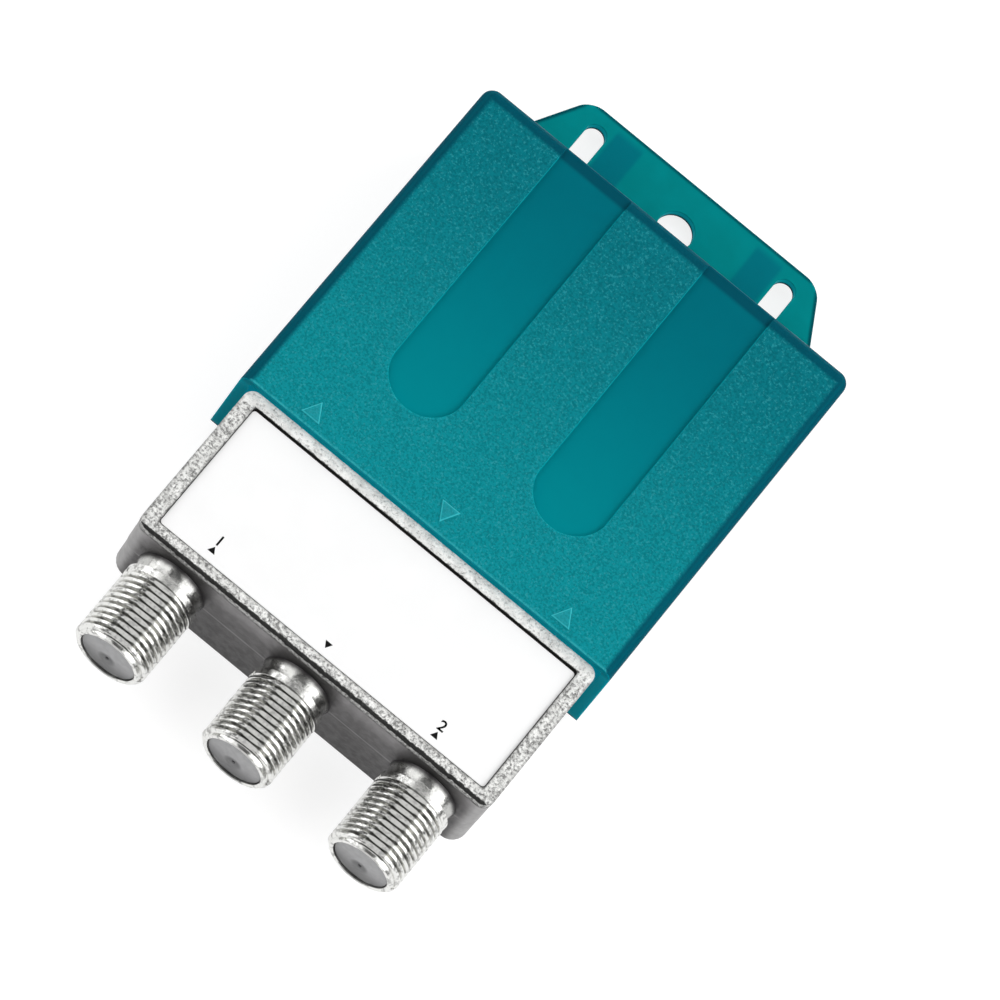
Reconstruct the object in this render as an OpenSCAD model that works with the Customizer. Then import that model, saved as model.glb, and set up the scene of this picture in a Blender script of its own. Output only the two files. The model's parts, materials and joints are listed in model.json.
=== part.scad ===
// Satellite switch: a small die-cast switch box with three F ports, in a weather cover with a mounting flange.
// The object lies on its back. X runs across it, +Y runs to the mounting flange and -Y to the ports.
// +Z is out of the labelled front. The origin is at the middle of the base of its overall box.
// The box is drawn out of the cover, with its top wall level with the cover's mouth. It slides home along +Y,
// until it meets the closed top.

/* [Weather cover] */
// Width of the cover across its side walls
cover_w = 52.6; // [46:0.1:60]
// Length of the cover from its mouth to its closed top
cover_l = 47.6; // [40:0.1:60]
// Thickness of the two side walls
side_wall = 1.3; // [0.8:0.05:1.6]
// Thickness of the front panel
front_wall = 1; // [0.8:0.05:1.6]
// Thickness of the closed top
top_wall = 1.2; // [0.8:0.05:2]
// Radius of the front edges and of the top corners
cover_edge_r = 1.5; // [0.8:0.1:2.5]
// Radius of the side walls' corners at the mouth, at the back
heel_r = 2.5; // [0.5:0.1:4]
// Width of each grip channel in the front panel
grip_w = 9.6; // [6:0.1:12]
// Depth of the grip channels
grip_depth = 0.45; // [0.2:0.05:0.6]
// Distance of each grip channel's centre line from the middle
grip_x = 10.35; // [8:0.05:14]
// Height of the channels' round lower ends above the mouth
grip_rise = 9.4; // [4:0.1:20]

/* [Back plate and flange] */
// Thickness of the back plate and its flange
plate_t = 1.3; // [1:0.05:2]
// Reach of the flange past the cover's closed top
flange_h = 14.3; // [13.5:0.1:20]
// Width of the flange at its free edge, before its corners are rounded
flange_top_w = 33.7; // [33:0.1:38]
// Distance below the cover's top at which the plate starts to narrow
taper_drop = 1.1; // [1:0.1:4]
// Radius of the flange's two free corners
flange_corner_r = 1.8; // [1:0.1:3]
// Width of the two tie slots
slot_w = 2.7; // [2:0.1:3]
// Length of the tie slots
slot_l = 9; // [6:0.1:10]
// Distance of each tie slot's centre line from the middle
slot_x = 14; // [13.8:0.1:14.5]
// Gap between a slot's upper end and the flange's free edge
slot_margin = 1.9; // [1.5:0.1:3]
// Diameter of the fixing hole in the middle of the flange
fixing_d = 4.6; // [3:0.1:6]
// Height of the fixing hole's centre above the cover's top
fixing_rise = 8.2; // [5:0.1:10]
// Width of the two ribs down the back
rib_w = 3.75; // [2:0.05:4]
// Height of the ribs, which stand the back off a wall and seat on a mast
rib_h = 1.5; // [0.8:0.1:3]
// Gap between a rib's upper end and the flange's free edge
rib_margin = 0.5; // [0.3:0.1:2]

/* [Switch box] */
// Height of the box along the cover's length
box_h = 21.2; // [18:0.1:26]
// Depth of the box from its face to its lid
box_d = 14.5; // [13.5:0.1:18]
// Gap between the box and each side wall of the cover
side_gap = 0.15; // [0.1:0.05:0.4]
// Gap between the face of the box and the front panel
front_gap = 0.15; // [0.1:0.05:0.4]
// Gap between the lid and the back plate
back_gap = 0.15; // [0.1:0.05:0.4]
// Thickness of the four side walls of the casting
cast_wall = 1.5; // [1.2:0.1:2]
// Thickness of the casting's face, measured at its rim
face_t = 1.6; // [1.2:0.1:2]
// Radius of the casting's corners on the face side of the parting line
front_corner_r = 1.3; // [0.6:0.1:2]
// Radius of the casting's corners on the lid side of the parting line
rear_corner_r = 2; // [0.6:0.1:2.5]
// Width of the raised rim at the sides of the label recess
rim_side = 1.85; // [1.5:0.05:3]
// Width of the raised rim above and below the label recess
rim_end = 1.6; // [1.2:0.1:3]
// Depth of the label recess
recess_depth = 0.5; // [0.2:0.1:0.8]
// Radius of the recess's corners
recess_r = 0.6; // [0.3:0.1:1.2]

/* [Ports] */
// Distance between neighbouring ports
port_pitch = 17.9; // [15.5:0.1:18]
// Length of a port from the box to its end face
port_l = 11.8; // [10:0.1:14]
// Outer diameter of the threaded barrel
thread_d = 9.4; // [9.2:0.05:9.6]
// Diameter of the neck between the barrel and the box
neck_d = 8.9; // [8.4:0.1:9.2]
// Length of the neck, fillet included
neck_l = 1.45; // [1:0.05:3]
// Radius of the fillet between the neck and the box
root_r = 1.3; // [0.5:0.1:1.4]
// Diameter of the end face inside its chamfer
end_d = 8.3; // [7.8:0.1:8.8]
// Diameter of the bore that holds the insulator
bore_d = 7.3; // [6.5:0.1:7.6]
// Distance of the insulator's face below the end face
insulator_sink = 0.5; // [0.2:0.1:1]
// Thickness of the insulator's front wall
insulator_front = 0.8; // [0.6:0.1:1.2]
// Diameter of the entry hole in the insulator
entry_d = 1.4; // [1.2:0.1:1.8]
// Diameter of the insulator's stub that passes through the box wall
stub_d = 4; // [3:0.1:4.5]

/* [Inside the box] */
// Thickness of the circuit board
board_t = 1; // [0.8:0.1:1.6]
// Gap between the board and the walls
board_gap = 0.3; // [0.2:0.1:0.5]
// Thickness of the rear lid
lid_t = 0.8; // [0.6:0.1:1.2]
// Width of the casting's edge round the lid
lid_rim = 0.7; // [0.5:0.1:1]
// Side of the square posts that carry the board in the corners
post_w = 3; // [2:0.1:4]
// Diameter of the two locating pegs that pass through the board
peg_d = 1.6; // [1:0.1:2]
// Outer diameter of a centre contact
contact_d = 2; // [1.8:0.1:2.2]
// Bore of a centre contact, which grips a 1 mm cable core
contact_bore = 1.1; // [1:0.05:1.2]
// Diameter of a contact's tail
tail_d = 0.8; // [0.6:0.1:1]
// Length of a contact's tail beyond the inside of the box wall
tail_reach = 3.2; // [2:0.1:4]
// Diameter of the electrolytic capacitor's can
can_d = 4; // [3:0.5:5]
// Height of the electrolytic capacitor
can_h = 5.2; // [4:0.1:5.4]

/* [Hidden] */
$fn = 48;
// Cuts run past a face by this much
cut = 1;
// Small running gap between a pin and its hole inside the box
fit_gap = 0.05;
// Number of flats that stand for a quarter turn on an outline
arc_steps = 6;
// Label stock
label_t = 0.12;
label_gap = 0.2;
// Chamfer at the ends of the back ribs
rib_chamfer = 0.6;
// Slot in the spring end of a centre contact
contact_slot = 0.3;
// Solder fillet on a contact's tail
solder_d = 2.4;
// Places of the two locating pegs as shares of the inside half width and height
peg_x_share = 0.5;
peg_y_share = 0.3;

// Overall length and depth
overall_l = flange_h + cover_l + box_h + port_l;
// Lengths along Y
mouth_y = box_h + port_l - overall_l / 2;
cover_top_y = mouth_y + cover_l;
flange_y = cover_top_y + flange_h;
box_low_y = mouth_y - box_h;
// Heights along Z
plate_z = rib_h + plate_t;
lid_z = plate_z + back_gap;
face_z = lid_z + box_d;
panel_in_z = face_z + front_gap;
panel_z = panel_in_z + front_wall;
port_z = lid_z + box_d / 2;
face_in_z = face_z - face_t;
// Widths
inner_w = cover_w - 2 * side_wall;
box_w = inner_w - 2 * side_gap;
hollow_w = box_w - 2 * cast_wall;
hollow_low_y = box_low_y + cast_wall;
hollow_top_y = mouth_y - cast_wall;
hollow_h = hollow_top_y - hollow_low_y;
hollow_mid_y = (hollow_top_y + hollow_low_y) / 2;
// Board: its lid side carries the parts and lies on the contacts' tails
board_low_z = port_z + tail_d / 2;
board_top_z = board_low_z + board_t;
board_w = hollow_w - 2 * board_gap;
board_h = hollow_h - 2 * board_gap;
peg_x = hollow_w / 2 * peg_x_share;
peg_y = hollow_mid_y + hollow_h / 2 * peg_y_share;
ports = [-port_pitch, 0, port_pitch];

// Points of a quarter or other arc, anticlockwise from one angle to another
function arc(x, y, r, from, to) =
    [for (k = [0:arc_steps]) let (a = from + (to - from) * k / arc_steps) [x + r * cos(a), y + r * sin(a)]];

// Outline of a rectangle whose lower and upper corners have their own radii
function soft_rect(x0, y0, x1, y1, low, high) = concat(
    arc(x0 + low, y0 + low, low, 180, 270),
    arc(x1 - low, y0 + low, low, 270, 360),
    arc(x1 - high, y1 - high, high, 0, 90),
    arc(x0 + high, y1 - high, high, 90, 180));

// A flat plate with a rounded outline, standing between two heights
module slab(points, z0, z1) {
    translate([0, 0, z0])
        linear_extrude(height = z1 - z0)
            polygon(points);
}

// Something turned about a port's axis: X of the profile is the radius and its Y is the distance from the box
module on_port(x) {
    translate([x, box_low_y, port_z])
        rotate([90, 0, 0])
            children();
}

// Something on the lid side of the board, built upwards from the board's surface
module on_board(x, y, turn = 0) {
    translate([x, y, board_low_z])
        rotate([180, 0, turn])
            children();
}

// Outer form of the cover: three outlines crossed, so that the edges and corners are rounded
module cover_form() {
    r = cover_edge_r;
    half = cover_w / 2;
    intersection() {
        slab(concat([[-half, mouth_y], [half, mouth_y]],
            arc(half - r, cover_top_y - r, r, 0, 90),
            arc(r - half, cover_top_y - r, r, 90, 180)), rib_h, panel_z);
        translate([0, cover_top_y + cut, 0])
            rotate([90, 0, 0])
                linear_extrude(height = cover_l + 2 * cut)
                    polygon(concat([[-half, 0], [half, 0]],
                        arc(half - r, panel_z - r, r, 0, 90),
                        arc(r - half, panel_z - r, r, 90, 180)));
        translate([-half - cut, 0, 0])
            rotate([90, 0, 90])
                linear_extrude(height = cover_w + 2 * cut)
                    polygon(concat(
                        arc(mouth_y + heel_r, rib_h + heel_r, heel_r, 180, 270),
                        [[cover_top_y, rib_h]],
                        arc(cover_top_y - r, panel_z - r, r, 0, 90),
                        [[mouth_y, panel_z]]));
    }
}

// One grip channel, open at the cover's top and round at its lower end
module grip_channel(x) {
    r = grip_w / 2;
    low = mouth_y + grip_rise + r;
    translate([0, 0, panel_z - grip_depth]) {
        translate([x - r, low, 0])
            cube([grip_w, cover_top_y - low + cut, grip_depth + cut]);
        translate([x, low, 0])
            cylinder(h = grip_depth + cut, r = r);
    }
}

// Front panel, side walls and closed top in one moulding, open at the mouth and at the back
module weather_shell() color([0.0, 0.42, 0.45]) {
    difference() {
        cover_form();
        translate([-inner_w / 2, mouth_y - cut, rib_h - cut])
            cube([inner_w, cover_l - top_wall + cut, panel_in_z - rib_h + cut]);
        translate([-inner_w / 2, mouth_y - cut, rib_h - cut])
            cube([inner_w, cover_l + 2 * cut, plate_t + cut]);
        for (side = [-1, 1])
            grip_channel(side * grip_x);
    }
}

// Outline of the back plate: full width in the cover, then tapering to the flange's rounded free edge
function plate_outline() =
    let (
        half = inner_w / 2,
        top_half = flange_top_w / 2,
        start = cover_top_y - taper_drop,
        lean = atan2(half - top_half, flange_y - start),
        turn = 90 - lean,
        set_in = flange_corner_r * tan(turn / 2),
        cx = top_half - set_in,
        cy = flange_y - flange_corner_r)
    concat([[-half, mouth_y], [half, mouth_y], [half, start]],
        arc(cx, cy, flange_corner_r, lean, 90),
        arc(-cx, cy, flange_corner_r, 90, 180 - lean),
        [[-half, start]]);

// One slot for a cable tie or a strap, round at both ends
module tie_slot(x) {
    r = slot_w / 2;
    high = flange_y - slot_margin - r;
    low = high - slot_l + slot_w;
    translate([x, high, rib_h - cut])
        cylinder(h = plate_t + 2 * cut, r = r);
    translate([x, low, rib_h - cut])
        cylinder(h = plate_t + 2 * cut, r = r);
    translate([x - r, low, rib_h - cut])
        cube([slot_w, high - low, plate_t + 2 * cut]);
}

// One rib down the back, with chamfered ends
module back_rib(x) {
    high = flange_y - rib_margin;
    translate([x - rib_w / 2, 0, 0])
        rotate([90, 0, 90])
            linear_extrude(height = rib_w)
                polygon([[mouth_y, rib_h], [mouth_y, rib_chamfer], [mouth_y + rib_chamfer, 0],
                    [high - rib_chamfer, 0], [high, rib_chamfer], [high, rib_h]]);
}

// Back of the cover, carrying the flange with its slots, its fixing hole and the two ribs
module back_plate() color([0.0, 0.45, 0.47]) {
    difference() {
        union() {
            slab(plate_outline(), rib_h, plate_z);
            for (side = [-1, 1])
                back_rib(side * grip_x);
        }
        for (side = [-1, 1])
            tie_slot(side * slot_x);
        translate([0, cover_top_y + fixing_rise, rib_h - cut])
            cylinder(h = plate_t + 2 * cut, d = fixing_d);
    }
}

// Barrel of one port: root fillet, neck, collar and thread of one diameter, and end chamfer
module port_barrel(x) {
    tip_y = port_l - (thread_d - end_d) / 2;
    r = min(root_r, neck_l - fit_gap);
    on_port(x)
        rotate_extrude()
            polygon(concat([[0, -cast_wall / 2]],
                [[neck_d / 2 + r, -cast_wall / 2], [neck_d / 2 + r, 0]],
                [for (k = [1:arc_steps]) let (a = 90 * k / arc_steps)
                    [neck_d / 2 + r - r * sin(a), r - r * cos(a)]],
                [[neck_d / 2, neck_l], [thread_d / 2, neck_l],
                    [thread_d / 2, tip_y], [end_d / 2, port_l], [0, port_l]]));
}

// Casting: an open-backed box with a sunken face, board posts, pegs and three port barrels
module die_cast_housing() color([0.74, 0.74, 0.73]) {
    half = box_w / 2;
    difference() {
        union() {
            slab(soft_rect(-half, box_low_y, half, mouth_y, rear_corner_r, rear_corner_r), lid_z, port_z);
            slab(soft_rect(-half, box_low_y, half, mouth_y, front_corner_r, front_corner_r), port_z, face_z);
            for (x = ports)
                port_barrel(x);
        }
        slab(soft_rect(rim_side - half, box_low_y + rim_end, half - rim_side, mouth_y - rim_end,
            recess_r, recess_r), face_z - recess_depth, face_z + cut);
        translate([-hollow_w / 2, hollow_low_y, lid_z - cut])
            cube([hollow_w, hollow_h, face_in_z - lid_z + cut]);
        slab(soft_rect(lid_rim - half, box_low_y + lid_rim, half - lid_rim, mouth_y - lid_rim,
            rear_corner_r - lid_rim, rear_corner_r - lid_rim), lid_z - cut, lid_z + lid_t);
        for (x = ports)
            on_port(x) {
                cylinder(h = port_l + cut, d = bore_d);
                translate([0, 0, -cast_wall - cut])
                    cylinder(h = cast_wall + 2 * cut, d = stub_d + 2 * fit_gap);
            }
    }
    for (sx = [-1, 1], sy = [-1, 1])
        translate([sx * (hollow_w - post_w) / 2, hollow_mid_y + sy * (hollow_h - post_w) / 2,
            (board_top_z + face_in_z) / 2])
            cube([post_w, post_w, face_in_z - board_top_z], center = true);
    for (side = [-1, 1])
        translate([side * peg_x, peg_y, board_low_z])
            cylinder(h = face_in_z - board_low_z, d = peg_d);
}

// Printed label lying in the sunken face
module face_label() color([0.95, 0.95, 0.95]) {
    half = box_w / 2 - rim_side - label_gap;
    slab(soft_rect(-half, box_low_y + rim_end + label_gap, half, mouth_y - rim_end - label_gap,
        recess_r, recess_r), face_z - recess_depth, face_z - recess_depth + label_t);
}

// Sheet lid pressed into the back of the casting
module rear_lid() color([0.7, 0.71, 0.72]) {
    half = box_w / 2 - lid_rim - fit_gap;
    r = rear_corner_r - lid_rim - fit_gap;
    slab(soft_rect(-half, box_low_y + lid_rim + fit_gap, half, mouth_y - lid_rim - fit_gap, r, r),
        lid_z, lid_z + lid_t);
}

// Turned plastic plug of one port: a body in the bore, a stub through the wall and a room for the contact
module port_insulator(x) color([0.62, 0.62, 0.6]) {
    body_l = port_l - insulator_sink;
    on_port(x)
        difference() {
            union() {
                translate([0, 0, fit_gap])
                    cylinder(h = body_l - fit_gap, d = bore_d - 2 * fit_gap);
                translate([0, 0, -cast_wall])
                    cylinder(h = cast_wall + cut, d = stub_d);
            }
            translate([0, 0, -cast_wall - cut])
                cylinder(h = body_l - insulator_front + cast_wall + cut, d = contact_d + 2 * fit_gap);
            cylinder(h = port_l, d = entry_d);
        }
}

// Spring contact of one port: a slotted tube, a solid root and a tail that reaches over the board
module centre_contact(x) color([0.85, 0.72, 0.4]) {
    tube_l = port_l - insulator_sink - insulator_front - fit_gap;
    grip_l = tube_l / 2;
    on_port(x) {
        difference() {
            translate([0, 0, -cast_wall])
                cylinder(h = tube_l + cast_wall, d = contact_d);
            translate([0, 0, tube_l - grip_l])
                cylinder(h = grip_l + cut, d = contact_bore);
            translate([-contact_slot / 2, -contact_d, tube_l - grip_l])
                cube([contact_slot, 2 * contact_d, grip_l + cut]);
        }
        translate([0, 0, -cast_wall - tail_reach])
            cylinder(h = tail_reach + cast_wall, d = tail_d);
    }
}

// Printed board, with its corners on the posts and its two holes over the pegs
module circuit_board() color([0.1, 0.4, 0.2]) {
    difference() {
        translate([-board_w / 2, hollow_low_y + board_gap, board_low_z])
            cube([board_w, board_h, board_t]);
        for (side = [-1, 1])
            translate([side * peg_x, peg_y, board_low_z - cut])
                cylinder(h = board_t + 2 * cut, d = peg_d + 2 * fit_gap);
    }
}

// Solder over the three tails: half domes with the tail's own channel through them
module solder_joints() color([0.78, 0.79, 0.8]) {
    y = hollow_low_y + tail_reach - solder_d / 2;
    for (x = ports)
        difference() {
            translate([x, y, board_low_z])
                sphere(d = solder_d);
            translate([x - solder_d, y - solder_d, board_low_z])
                cube([2 * solder_d, 2 * solder_d, solder_d]);
            translate([x, y + solder_d, port_z])
                rotate([90, 0, 0])
                    cylinder(h = 2 * solder_d, d = tail_d + fit_gap);
        }
}

// One gull-wing lead that steps down from a package's side to the board
module gull_lead(w, root, reach, rise, t) {
    translate([-w / 2, 0, 0])
        rotate([90, 0, 90])
            linear_extrude(height = w)
                polygon([[-root, rise], [reach / 2, rise], [reach / 2, t], [reach, t], [reach, 0],
                    [reach / 2 - t, 0], [reach / 2 - t, rise - t], [-root, rise - t]]);
}

// Moulded package: a body with drafted long sides, lifted off the board
module package_body(l, w, lift, h) {
    lean = h / 8;
    translate([-l / 2, 0, 0])
        rotate([90, 0, 90])
            linear_extrude(height = l)
                polygon([[lean - w / 2, lift], [w / 2 - lean, lift], [w / 2, (lift + h) / 2],
                    [w / 2 - lean, h], [lean - w / 2, h], [-w / 2, (lift + h) / 2]]);
}

// Package with leads down both long sides, the two sides with their own counts
module leaded_package(l, w, h, pitch, near, far, lead_w) {
    lead_t = h / 8;
    lift = h / 12;
    rise = (lift + h + lead_t) / 2;
    package_body(l, w, lift, h);
    for (row = [[near, 1], [far, -1]], k = [0:row[0] - 1])
        translate([(k - (row[0] - 1) / 2) * pitch[row[1] > 0 ? 0 : 1], row[1] * w / 2, 0])
            mirror([0, row[1] > 0 ? 0 : 1, 0])
                gull_lead(lead_w, h / 4, w / 4, rise, lead_t);
}

// Chip part with end caps that stand a little proud of its body
module chip_part(l, w, h, cap) {
    proud = h / 12;
    translate([-l / 2, -w / 2, 0]) {
        translate([0, proud, proud])
            cube([l, w - 2 * proud, h - 2 * proud]);
        cube([cap, w, h]);
        translate([l - cap, 0, 0])
            cube([cap, w, h]);
    }
}

// Sizes of the standard packages: length, width, height
so8 = [4.9, 3.9, 1.6];
so8_pitch = 1.27;
so8_lead = 0.42;
sot89 = [4.5, 2.5, 1.5];
sot89_pitch = 1.5;
sot89_lead = 0.5;
sot23 = [2.9, 1.3, 1.1];
sot23_pitch = 1.9;
sot23_lead = 0.42;
sod323 = [1.25, 1.7, 1];
sod323_lead = 0.3;
chip0603 = [1.6, 0.8, 0.8];
chip0603_cap = 0.35;
resistor_h = 0.5;
resonator = [3.2, 1.3, 1];
resonator_cap = 0.45;
choke_d = 2.6;
choke_h = 2.2;
choke_flange = 0.45;
can_base = 4.3;
can_base_h = 0.8;
can_bead = 0.25;

// Places on the board, as shares of its half width and half height from its middle
chip_share = [0.02, 0.42];
regulator_share = [-0.78, 0.45];
can_share = [0.8, 0.38];
resonator_share = [0.02, -0.02];
transistor_shares = [[-0.36, -0.02], [0.36, -0.02], [-0.3, 0.62], [0.32, 0.62]];
diode_shares = [[-0.62, -0.12], [-0.18, -0.52], [0.18, -0.52], [0.62, -0.12]];
choke_shares = [[-0.52, -0.6], [0.2, -0.12], [0.52, -0.6]];
capacitor_shares = [[-0.9, -0.2], [-0.9, -0.62], [-0.28, -0.8], [0.28, -0.8],
    [0.9, -0.2], [0.9, -0.62], [-0.16, 0.02], [0.46, 0.84]];
resistor_shares = [[-0.56, 0.86], [-0.42, 0.3], [-0.2, 0.86], [0.2, 0.86],
    [-0.64, 0.1], [0.56, 0.12], [-0.4, -0.32], [0.4, -0.32]];

// A part on the board at shares of the board's half width and half height
module at_share(s, turn = 0) {
    on_board(board_w / 2 * s[0], hollow_mid_y + board_h / 2 * s[1], turn)
        children();
}

// Controller that reads the receiver's switching signal
module decoder_chip() color([0.12, 0.12, 0.12]) {
    at_share(chip_share)
        leaded_package(so8[0], so8[1], so8[2], [so8_pitch, so8_pitch], 4, 4, so8_lead);
}

// Regulator that feeds the controller from the cable voltage
module voltage_regulator() color([0.14, 0.14, 0.14]) {
    at_share(regulator_share)
        leaded_package(sot89[0], sot89[1], sot89[2], [sot89_pitch, sot89_pitch], 3, 1, sot89_lead);
}

// Transistors that pass the supply to the chosen port
module switching_transistors() color([0.13, 0.13, 0.14]) {
    for (s = transistor_shares)
        at_share(s)
            leaded_package(sot23[0], sot23[1], sot23[2], [sot23_pitch, sot23_pitch], 2, 1, sot23_lead);
}

// Diodes that pass or block the signal
module pin_diodes() color([0.16, 0.15, 0.15]) {
    for (s = diode_shares)
        at_share(s)
            leaded_package(sod323[0], sod323[1], sod323[2], [sod323[0], sod323[0]], 1, 1, sod323_lead);
}

// Wound chokes on drum cores
module rf_chokes() color([0.3, 0.22, 0.16]) {
    for (s = choke_shares)
        at_share(s) {
            cylinder(h = choke_flange, d = choke_d);
            cylinder(h = choke_h, d = choke_d - choke_flange);
            translate([0, 0, choke_h - choke_flange])
                cylinder(h = choke_flange, d = choke_d);
        }
}

// Smoothing capacitor: a can with a beaded foot on a square base
module electrolytic_capacitor() color([0.8, 0.8, 0.82]) {
    at_share(can_share) {
        translate([-can_base / 2, -can_base / 2, 0])
            cube([can_base, can_base, can_base_h]);
        rotate_extrude()
            polygon([[0, can_base_h], [can_d / 2, can_base_h], [can_d / 2, can_base_h + can_bead],
                [can_d / 2 - can_bead, can_base_h + 2 * can_bead], [can_d / 2, can_base_h + 3 * can_bead],
                [can_d / 2, can_h - can_bead], [can_d / 2 - can_bead, can_h], [0, can_h]]);
    }
}

// Coupling and blocking capacitors
module ceramic_capacitors() color([0.66, 0.56, 0.42]) {
    for (s = capacitor_shares)
        at_share(s)
            chip_part(chip0603[0], chip0603[1], chip0603[2], chip0603_cap);
}

// Bias and pull-up resistors
module chip_resistors() color([0.2, 0.2, 0.22]) {
    for (s = resistor_shares)
        at_share(s)
            chip_part(chip0603[0], chip0603[1], resistor_h, chip0603_cap);
}

// Resonator that clocks the controller
module ceramic_resonator() color([0.75, 0.68, 0.5]) {
    at_share(resonator_share)
        chip_part(resonator[0], resonator[1], resonator[2], resonator_cap);
}

weather_shell();
back_plate();
die_cast_housing();
face_label();
rear_lid();
port_insulator(ports[0]);  // port_insulator_left
port_insulator(ports[1]);  // port_insulator_centre
port_insulator(ports[2]);  // port_insulator_right
centre_contact(ports[0]);  // centre_contact_left
centre_contact(ports[1]);  // centre_contact_centre
centre_contact(ports[2]);  // centre_contact_right
circuit_board();
solder_joints();
decoder_chip();
voltage_regulator();
switching_transistors();
pin_diodes();
rf_chokes();
electrolytic_capacitor();
ceramic_capacitors();
chip_resistors();
ceramic_resonator();
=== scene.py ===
"""Looks of the satellite switch and its weather cover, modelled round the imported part."""

import json
import math

import bmesh
import bpy
from bpy.props import FloatProperty, FloatVectorProperty, PointerProperty
from mathutils import Matrix, Vector


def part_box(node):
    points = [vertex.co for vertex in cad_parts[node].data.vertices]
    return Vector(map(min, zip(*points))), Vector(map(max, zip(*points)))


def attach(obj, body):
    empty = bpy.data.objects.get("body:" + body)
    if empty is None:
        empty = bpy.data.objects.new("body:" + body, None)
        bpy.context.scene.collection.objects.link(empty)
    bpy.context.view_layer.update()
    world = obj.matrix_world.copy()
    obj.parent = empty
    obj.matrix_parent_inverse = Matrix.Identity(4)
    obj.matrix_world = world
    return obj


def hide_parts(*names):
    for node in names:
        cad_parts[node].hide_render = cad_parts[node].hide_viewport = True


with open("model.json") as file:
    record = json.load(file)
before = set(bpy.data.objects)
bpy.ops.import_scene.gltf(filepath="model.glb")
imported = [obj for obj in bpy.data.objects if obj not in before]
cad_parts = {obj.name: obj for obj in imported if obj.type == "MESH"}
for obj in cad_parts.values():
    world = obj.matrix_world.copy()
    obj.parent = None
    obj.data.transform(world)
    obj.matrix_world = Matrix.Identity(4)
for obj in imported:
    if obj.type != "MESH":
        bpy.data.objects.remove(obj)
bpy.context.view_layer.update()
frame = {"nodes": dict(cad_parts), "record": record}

bl_info = {
    "name": "Satellite switch",
    "version": (1, 0, 0),
    "blender": (4, 5, 0),
    "location": "View3D > Sidebar > Switch",
    "description": "Models a die-cast satellite switch and its slide-on weather cover round the packed part",
    "category": "Add Mesh",
}

MM = 0.001
# In millimetres: places that count as the same, the reach of a cut past a face, the weld distance of
# doubled points, the overlap of joined blocks, and the rounding of a plain moulded or pressed edge
NEAR = 0.01
CUT = 1.0
WELD = 0.0005
LAP = 0.2
SOFT = 0.15
SIDES = ("left", "centre", "right")
# Moulded arrows: the port that each is for, its way along Y, and how far across from it, in millimetres
ARROWS = (("port_left", 1, 0.25), ("port_centre", -1, 0.65), ("port_right", 1, 0.1))
# Printed arrows: place across and along in millimetres, way along Y, and the number over the arrow
MARKS = ((-16.48, -32.5, 1, "1"), (-0.17, -32.4, -1, ""), (15.21, -32.7, 1, "2"))
# The same arrows' radius, height of the numbers over them, size and added weight of the numbers, and the
# ink's thickness, in millimetres
MARK_RADIUS, NUMBER_RISE, NUMBER_SIZE, NUMBER_WEIGHT, INK_DEPTH = 0.56, 0.8, 1.9, 0.03, 0.01
# How far the label reaches past its CAD width, in millimetres
LABEL_REACH = 0.12
# Outline of the thread's ridge, as shares of the thread's depth and pitch, and its steps in one turn
CREST = ((-0.5, -0.46), (0.05, -0.46), (0.86, -0.28), (0.98, -0.2), (1.0, -0.08), (1.0, 0.08), (0.98, 0.2),
         (0.86, 0.28), (0.05, 0.46), (-0.5, 0.46))
TURN_STEPS = 72
# Place on the cover's front that the camera looks at, in metres
AIM = (0.004297, -0.006459)
# Looks of plain parts: colour, deeper colour, grain, roughness, relief and metallic share, with lengths in
# metres. Those inside the box stand under their slot, with the material's name first and 1.0 last for a metal
LID_SHEET = ((0.62, 0.63, 0.64), (0.5, 0.51, 0.52), 0.004, 0.32, 0.00001, 1.0)
INSIDE = {
    "contact_brass": ("contact_brass", (0.72, 0.52, 0.22), (0.6, 0.42, 0.17), 0.0006, 0.25, 0.00001, 1.0),
    "board_laminate": ("board_laminate", (0.012, 0.11, 0.035), (0.008, 0.075, 0.024), 0.0016, 0.35, 0.00001),
    "solder": ("solder", (0.68, 0.69, 0.7), (0.5, 0.51, 0.52), 0.0005, 0.25, 0.00001, 1.0),
    "package_black": ("package_black", (0.02, 0.02, 0.021), (0.03, 0.03, 0.031), 0.0005, 0.5, 0.000012),
    "choke_ferrite": ("choke_ferrite", (0.11, 0.055, 0.028), (0.06, 0.03, 0.016), 0.0004, 0.4, 0.00002),
    "can_aluminium": ("can_aluminium", (0.76, 0.76, 0.78), (0.66, 0.66, 0.68), 0.0008, 0.3, 0.00001, 1.0),
    "capacitor_ceramic": ("capacitor_ceramic", (0.34, 0.24, 0.13), (0.27, 0.19, 0.1), 0.0004, 0.5, 0.00001),
    "resistor_ceramic": ("resistor_glaze", (0.03, 0.03, 0.034), (0.02, 0.02, 0.022), 0.0003, 0.3, 0.00001),
}


def mm(value):
    """A length or a place in metres, turned to millimetres."""
    return value / MM


def node_box(node):
    """Lowest and highest corner of a CAD node in millimetres."""
    low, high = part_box(node)
    return mm(low), mm(high)


def mount(name):
    """A mount of the record by its name."""
    return next(m for m in frame["record"]["mounts"] if m["name"] == name)


def mount_place(name):
    """Place of a mount in millimetres."""
    return [mm(v) for v in mount(name)["pos_m"]]


# Sizes and colours that a user would change


def length(name, description, default):
    """A size property in metres."""
    return FloatProperty(name=name, description=description, default=default, min=0.0, precision=5,
                         unit="LENGTH")


def colour(name, description, default):
    """A colour property, written as linear red, green and blue."""
    return FloatVectorProperty(name=name, description=description, default=default, size=3, min=0.0,
                               max=1.0, subtype="COLOR")


def amount(name, description, default):
    """A plain number property."""
    return FloatProperty(name=name, description=description, default=default, min=0.0)


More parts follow.
